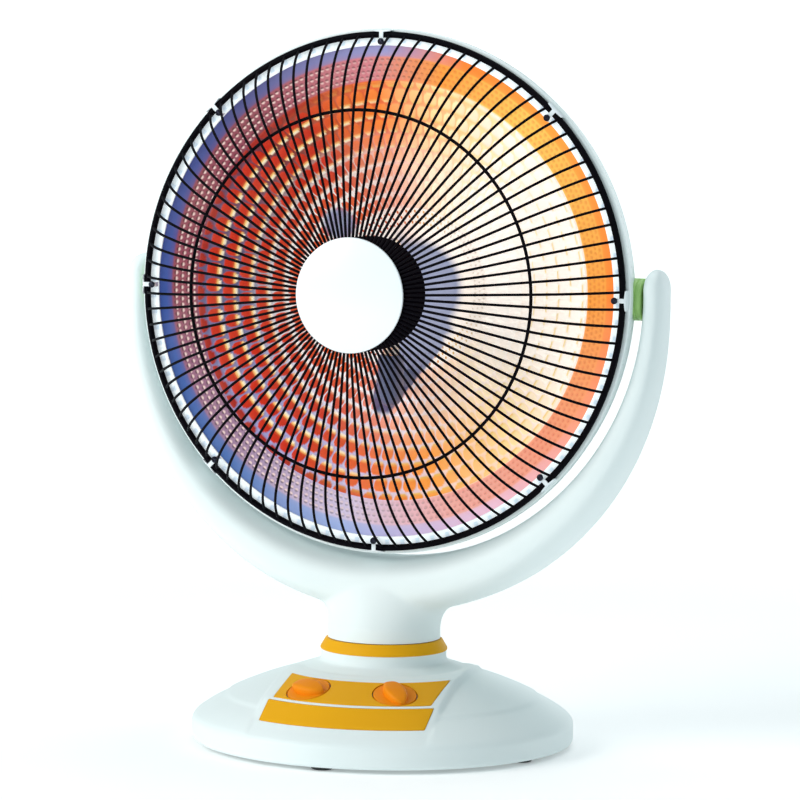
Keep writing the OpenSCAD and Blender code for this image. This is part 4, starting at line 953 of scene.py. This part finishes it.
def dishPaintedLight(r, turn, v, inCell, bowl, dv, dot, innerDot):
    degrees = np.degrees(turn)
    body, gap, dots, edge = (glowAt(zone, degrees) for zone in ("body", "gap", "dots", "edge"))
    # left marks the half where the painted reflection turns red and the cells get painted highlights
    left = smoothStep((-np.cos(turn) + 0.25) / 0.9)
    tint, body, gap = cellPaintedLight(r, degrees, left, body, gap, v, inCell, bowl)
    # the smooth middle and its rows of small dots, in painted reflection colours
    middle = blend(np.broadcast_to(shade("cream"), body.shape), gap, left * 0.8)
    tint = blend(tint, blend(middle, body * 0.7, np.clip(innerDot * 2, 0, 1)), r < dish["cellIn"])
    # dots: a painted shade side and a painted highlight side
    tint = blend(tint, dots, rise(r, dish["cellEdge"], 0.8))
    bright = blend(dots * 0.85, shade("petal"), left * 0.8)
    paintedDotShade = dots * (0.72 - 0.34 * left)[..., None]
    tint = blend(tint, np.where((dv < 0.1)[..., None], bright, paintedDotShade), np.clip(dot * 2.6 - 0.7, 0, 1))
    tint = blend(tint, edge, rise(r, 162.6, 1.4))
    x, y = r * np.cos(turn), r * np.sin(turn)
    # painted dark reflection of the shield, darker lower down
    deep = blend(np.broadcast_to(shade("haze"), body.shape), shade("shade"), fall(y, image["deepY"], 30))
    tint = blend(tint, deep, paintedReflectionShare(x, y))
    return blend(tint, np.array([0.75, 0.85, 0.95]), r > head["dishEdge"] + 0.5)


makeDish()
print("dish made")


# Guard: two rings and a fan of wires, each a flat arc and a tight arc
guard = {"wire": 1.9, "midR": 126.0, "riseMid": 40.3, "riseHub": 51.3, "sides": 10, "hubLap": 2.5,
         "endLap": 0.4}


def wirePath():
    midR, midF, hubF = guard["midR"], guardF + guard["riseMid"], guardF + guard["riseHub"]
    hubEnd = hubR - guard["hubLap"]
    bend = math.atan2(hubF - midF, midR - hubEnd)
    domeR = (midR + hubEnd) / 2 / math.sin(bend)
    midTurn, hubTurn = math.asin(midR / domeR), math.asin(hubEnd / domeR)
    centre = midF - domeR * math.cos(midTurn)
    flat = [(domeR * math.sin(t), centre + domeR * math.cos(t)) for t in np.linspace(hubTurn, midTurn, 14)]
    chord = math.hypot(guardR - midR, guard["riseMid"])
    tight = 2 * (math.atan2(guard["riseMid"], guardR - midR) - midTurn)
    bendR = chord / (2 * math.sin(tight / 2))
    cr, cf = midR - bendR * math.sin(midTurn), midF - bendR * math.cos(midTurn)
    stop = (guardWire / 2 - guard["endLap"]) / bendR
    arc = [(cr + bendR * math.sin(midTurn + t), cf + bendR * math.cos(midTurn + t))
           for t in np.linspace(0, tight - stop, 22)]
    return np.array(flat + arc[1:])


def wireTube(path, radius, sides):
    tangent = directions(path)
    a = fullTurn(sides)
    normal = np.stack([-tangent[:, 1], tangent[:, 0]], -1)
    r = path[:, 0][:, None] + radius * normal[:, 0][:, None] * np.cos(a)
    f = path[:, 1][:, None] + radius * normal[:, 1][:, None] * np.cos(a)
    side = radius * np.sin(a)[None, :] + 0 * r
    return capped(np.stack([r, side, f], -1))


def circleProfile(r, z, d, count=20):
    return [(r + d / 2 * math.cos(t), z + d / 2 * math.sin(t))
            for t in fullTurn(count)]


def ringNode(name, node, steps=360):
    low, high = boxMm(node)
    d = high[1] - low[1]
    r = (high[0] - low[0] - d) / 2
    lathePiece(name, circleProfile(r, -(low[1] + high[1]) / 2, d), "blackWire", inHead, "head",
               node, steps=steps)


def makeGuard():
    wire = wireTube(wirePath(), guard["wire"] / 2, guard["sides"])
    fan = [moved(wire, turn=(k + 0.5) * 2 * math.pi / guardCount) for k in range(guardCount)]
    makePiece("guardWires", joined(fan), "blackWire", inHead, "head", "guard_wires", 60)
    ringNode("guardRing", "guard_ring")
    ringNode("guardMidRing", "guard_mid_ring")
    ringNode("guardHubRing", "guard_hub_ring", 200)


# Hub: a slightly crowned white disc over a black cup
def makeHub():
    crown = [(hubR * (1 - u), hubBack + 1.5 + 1.8 * (1 - (1 - u) ** 2)) for u in np.linspace(0.03, 1, 16)]
    disc = [(0, hubBack), (hubR - 0.6, hubBack), (hubR, hubBack + 0.5), (hubR, hubBack + 1.0),
            (hubR - 0.35, hubBack + 1.45)] + crown
    lathePiece("hubDisc", disc, "whiteEnamel", inHead, "head", "hub_disc", steps=240,
               closed=False)
    low, high = boxMm("hub_shield_cup")
    r, back, front, wall = (high[0] - low[0]) / 2, -high[1], -low[1], 1
    cup = rounded([(r, front), (r, back), (r - wall, back), (r - wall, front - wall), (0, front - wall),
                   (0, front)], 0.3, 3)
    lathePiece("shieldCup", cup, "cupBlack", inHead, "head", "hub_shield_cup", steps=200)


makeGuard()
makeHub()
print("guard made")


# Clips hook over the outer ring, each held by a cross-head screw
clips = {"count": 8, "tongue": 3.2, "leg": 14.0, "thick": 0.7, "over": 0.6, "corner": 1.6, "lift": 0.15,
         "screwIn": 2.6, "tongueIn": 1.9, "screwTurn": 0.6}


def stripMesh(path, half, thick):
    # a bent strip: the path is its middle line in (r, f), half its half width along it
    tangent = directions(path)
    normal = np.stack([-tangent[:, 1], tangent[:, 0]], -1) * thick / 2
    soft = thick * 0.3
    rings = []
    for p, n, h in zip(path, normal, half):
        a, b = p + n, p - n
        rings.append([(a[0], -h + soft, a[1]), (a[0], h - soft, a[1]), (p[0], h, p[1]),
                      (b[0], h - soft, b[1]), (b[0], -h + soft, b[1]), (p[0], -h, p[1])])
    return capped(np.array(rings))


def makeClips():
    top = guardF + guardWire / 2 + clips["over"]
    outer = guardR + guardWire / 2 + clips["over"]
    screwR = guardR - guardWire / 2 - clips["screwIn"]
    inner, low = screwR - clips["tongueIn"], rimFront + clips["lift"]
    line = rounded([(inner, low), (inner, top), (outer, top), (outer, low)], clips["corner"], 5)
    path = fillIn(line, 0.7)
    wide = rise(path[:, 0], outer - 1.0, 0.6)
    half = clips["tongue"] / 2 + (clips["leg"] - clips["tongue"]) / 2 * wide
    strip, screw = stripMesh(path, half, clips["thick"]), screwHead()
    fan, screws = [], []
    for k in range(clips["count"]):
        a = math.radians(90 + k * 360 / clips["count"])
        fan.append(moved(strip, turn=a))
        place = (screwR * math.cos(a), screwR * math.sin(a), top + 0.5)
        screws.append(moved(screw, place, a + clips["screwTurn"]))
    makePiece("guardClips", joined(fan), "whiteEnamel", inHead, "head", "guard_clips")
    makePiece("guardScrews", joined(screws), "darkScrew", inHead, "head", "guard_screws", 30)


def screwHead(r=2.3, high=1.5, slot=0.42, deep=0.8, cross=1.5):
    # a domed head with a cross recess, built as a fine height field over the disc
    turn = fullTurn(48)[None, :]
    rr = np.array([0.001, 0.25, 0.42, 0.7, 1.0, 1.3, 1.45, 1.6, 1.85, 2.1, 2.25, 2.3])[:, None]
    x, y = rr * np.cos(turn), rr * np.sin(turn)
    z = high * np.sqrt(np.clip(1 - (rr / (r * 1.06)) ** 2.4, 0, 1)) + 0 * x
    sunk = ((np.abs(x) < slot) | (np.abs(y) < slot)) & (rr < cross)
    z = np.where(sunk, z - deep, z)
    skirt = np.stack([x[-1:], y[-1:], 0 * x[-1:]], -1)
    return ringsMesh(np.concatenate([np.stack([x, y, z], -1), skirt]), capEnd=True)


makeClips()
print("clips made")


# Pivots: green bosses that turn in the yoke arms
def makePivots():
    for left, name in ((False, "Right"), (True, "Left")):
        low, high = boxMm("pivot_boss_" + name.lower())
        near, far = sorted((abs(low[0]), abs(high[0])))
        r = (high[2] - low[2]) / 2
        profile = rounded([(4.1, near), (r, near), (r, far - 4.4), (r - 0.6, far - 4.2), (r - 0.6, far - 3.6),
                           (r, far - 3.4), (r, far - 1), (r - 1.2, far), (4.1, far)], 0.5, 3, True)
        lathePiece("pivotBoss" + name, profile, "greenPlastic", atPivot(left), "head",
                   "pivot_boss_" + name.lower(), steps=120)


# Lamp: a wound filament in its quartz tube
lamp = {"turns": 24, "coilR": 1.35, "wire": 0.42, "perTurn": 12}


def makeFilament():
    low, high = boxMm("lamp_filament")
    mid = (low + high) / 2
    count = lamp["turns"] * lamp["perTurn"]
    t = np.linspace(0, 1, count)
    a = t * lamp["turns"] * 2 * math.pi
    path = np.stack([mid[0] + lamp["coilR"] * np.cos(a), mid[1] + lamp["coilR"] * np.sin(a),
                     low[2] + 0.5 + t * (high[2] - low[2] - 1)], -1)
    out = np.stack([np.cos(a), np.sin(a), 0 * a], -1)
    up = np.cross(directions(path), out)
    b = fullTurn(6)[None, :, None]
    rings = path[:, None] + lamp["wire"] / 2 * (np.cos(b) * out[:, None] + np.sin(b) * up[:, None])
    makePiece("lampFilament", capped(rings), "filament", asIs, "head", "lamp_filament")


makePivots()
makeFilament()
print("pivots and lamp made")


# The frame's other nodes keep their own shape and take their slot's look, or one of their own
# the lamp bracket takes a painted reflection colour instead of its steel
ownLooks = {"lamp_bracket": "paintedShieldReflection"}


def dressNodes():
    slotOf = {part["node"]: part["material_slot"] for part in frame["record"]["subparts"]}
    for name, node in frame["nodes"].items():
        node.data.materials.clear()
        node.data.materials.append(looks[ownLooks.get(name, slotLooks[slotOf[name]])])
        smoothFaces(node.data, 32)


dressNodes()
print("frame dressed")


# Studio: a pale floor that sweeps up behind, and soft lights
studio = {"floor": (0.94, 0.95, 0.95), "shine": (0.97, 0.99, 1.0), "sky": (0.72, 0.90, 0.95),
          "skyPower": 0.38, "wide": 6.0, "front": -6.0, "deep": 8.0, "bend": 0.9, "high": 3.2,
          "aim": (0, 0, 0.25), "nearShine": (0.8, 0.2), "farShine": (2.8, 0.75)}
lamps = {"key": {"place": (-2.0, -2.2, 1.6), "size": 2.2, "power": 74, "tint": (1.0, 0.99, 0.97)},
         "fill": {"place": (2.2, -1.5, 1.2), "size": 2.0, "power": 1.5, "tint": (0.86, 0.97, 1.0)},
         "top": {"place": (0.2, 0.6, 2.6), "size": 2.2, "power": 30, "tint": (1.0, 1.0, 1.0)}}


def floorLook():
    # the ground glows a little, and more with the distance, where the lamps don't reach it
    look = makeLook("floor", studio["floor"], tuple(0.985 * c for c in studio["floor"]), 0.8, grain=60,
                    bump=0.02)
    tree = look.node_tree
    inputs = tree.nodes["Principled BSDF"].inputs
    inputs["Emission Color"].default_value = (*studio["shine"], 1)
    away = tree.nodes.new("ShaderNodeVectorMath")
    away.operation = "LENGTH"
    tree.links.new(tree.nodes.new("ShaderNodeTexCoord").outputs["Object"], away.inputs[0])
    (near, dim), (far, bright) = studio["nearShine"], studio["farShine"]
    tree.links.new(remap(tree, away.outputs["Value"], near, far, dim, bright), inputs["Emission Strength"])
    return look


def makeStudio():
    foot, bend = studio["deep"] - studio["bend"], studio["bend"]
    line = [(studio["front"], 0.0), (foot, 0.0)]
    sweep = np.linspace(0.1, math.pi / 2, 14)
    line += [(foot + bend * math.sin(t), bend - bend * math.cos(t)) for t in sweep]
    line.append((studio["deep"], studio["high"]))
    across = np.linspace(-studio["wide"], studio["wide"], 3)
    rings = np.array([[(x, y, z) for x in across] for y, z in line]) / mm
    looks["floor"] = floorLook()
    linkMesh("floor", ringsMesh(rings, closedRound=False), "floor")
    for name, source in lamps.items():
        data = bpy.data.lights.new(name, "AREA")
        data.energy, data.size, data.color = source["power"], source["size"], source["tint"]
        light = bpy.data.objects.new(name, data)
        light.location = source["place"]
        ray = Vector(studio["aim"]) - Vector(source["place"])
        light.rotation_euler = ray.to_track_quat("-Z", "Y").to_euler()
        scene.collection.objects.link(light)
    world = bpy.data.worlds.new("sky")
    world.use_nodes = True
    sky = world.node_tree.nodes["Background"]
    sky.inputs["Color"].default_value = (*studio["sky"], 1)
    sky.inputs["Strength"].default_value = studio["skyPower"]
    scene.world = world
    scene.view_settings.view_transform = "Standard"


makeStudio()

print("scene made")
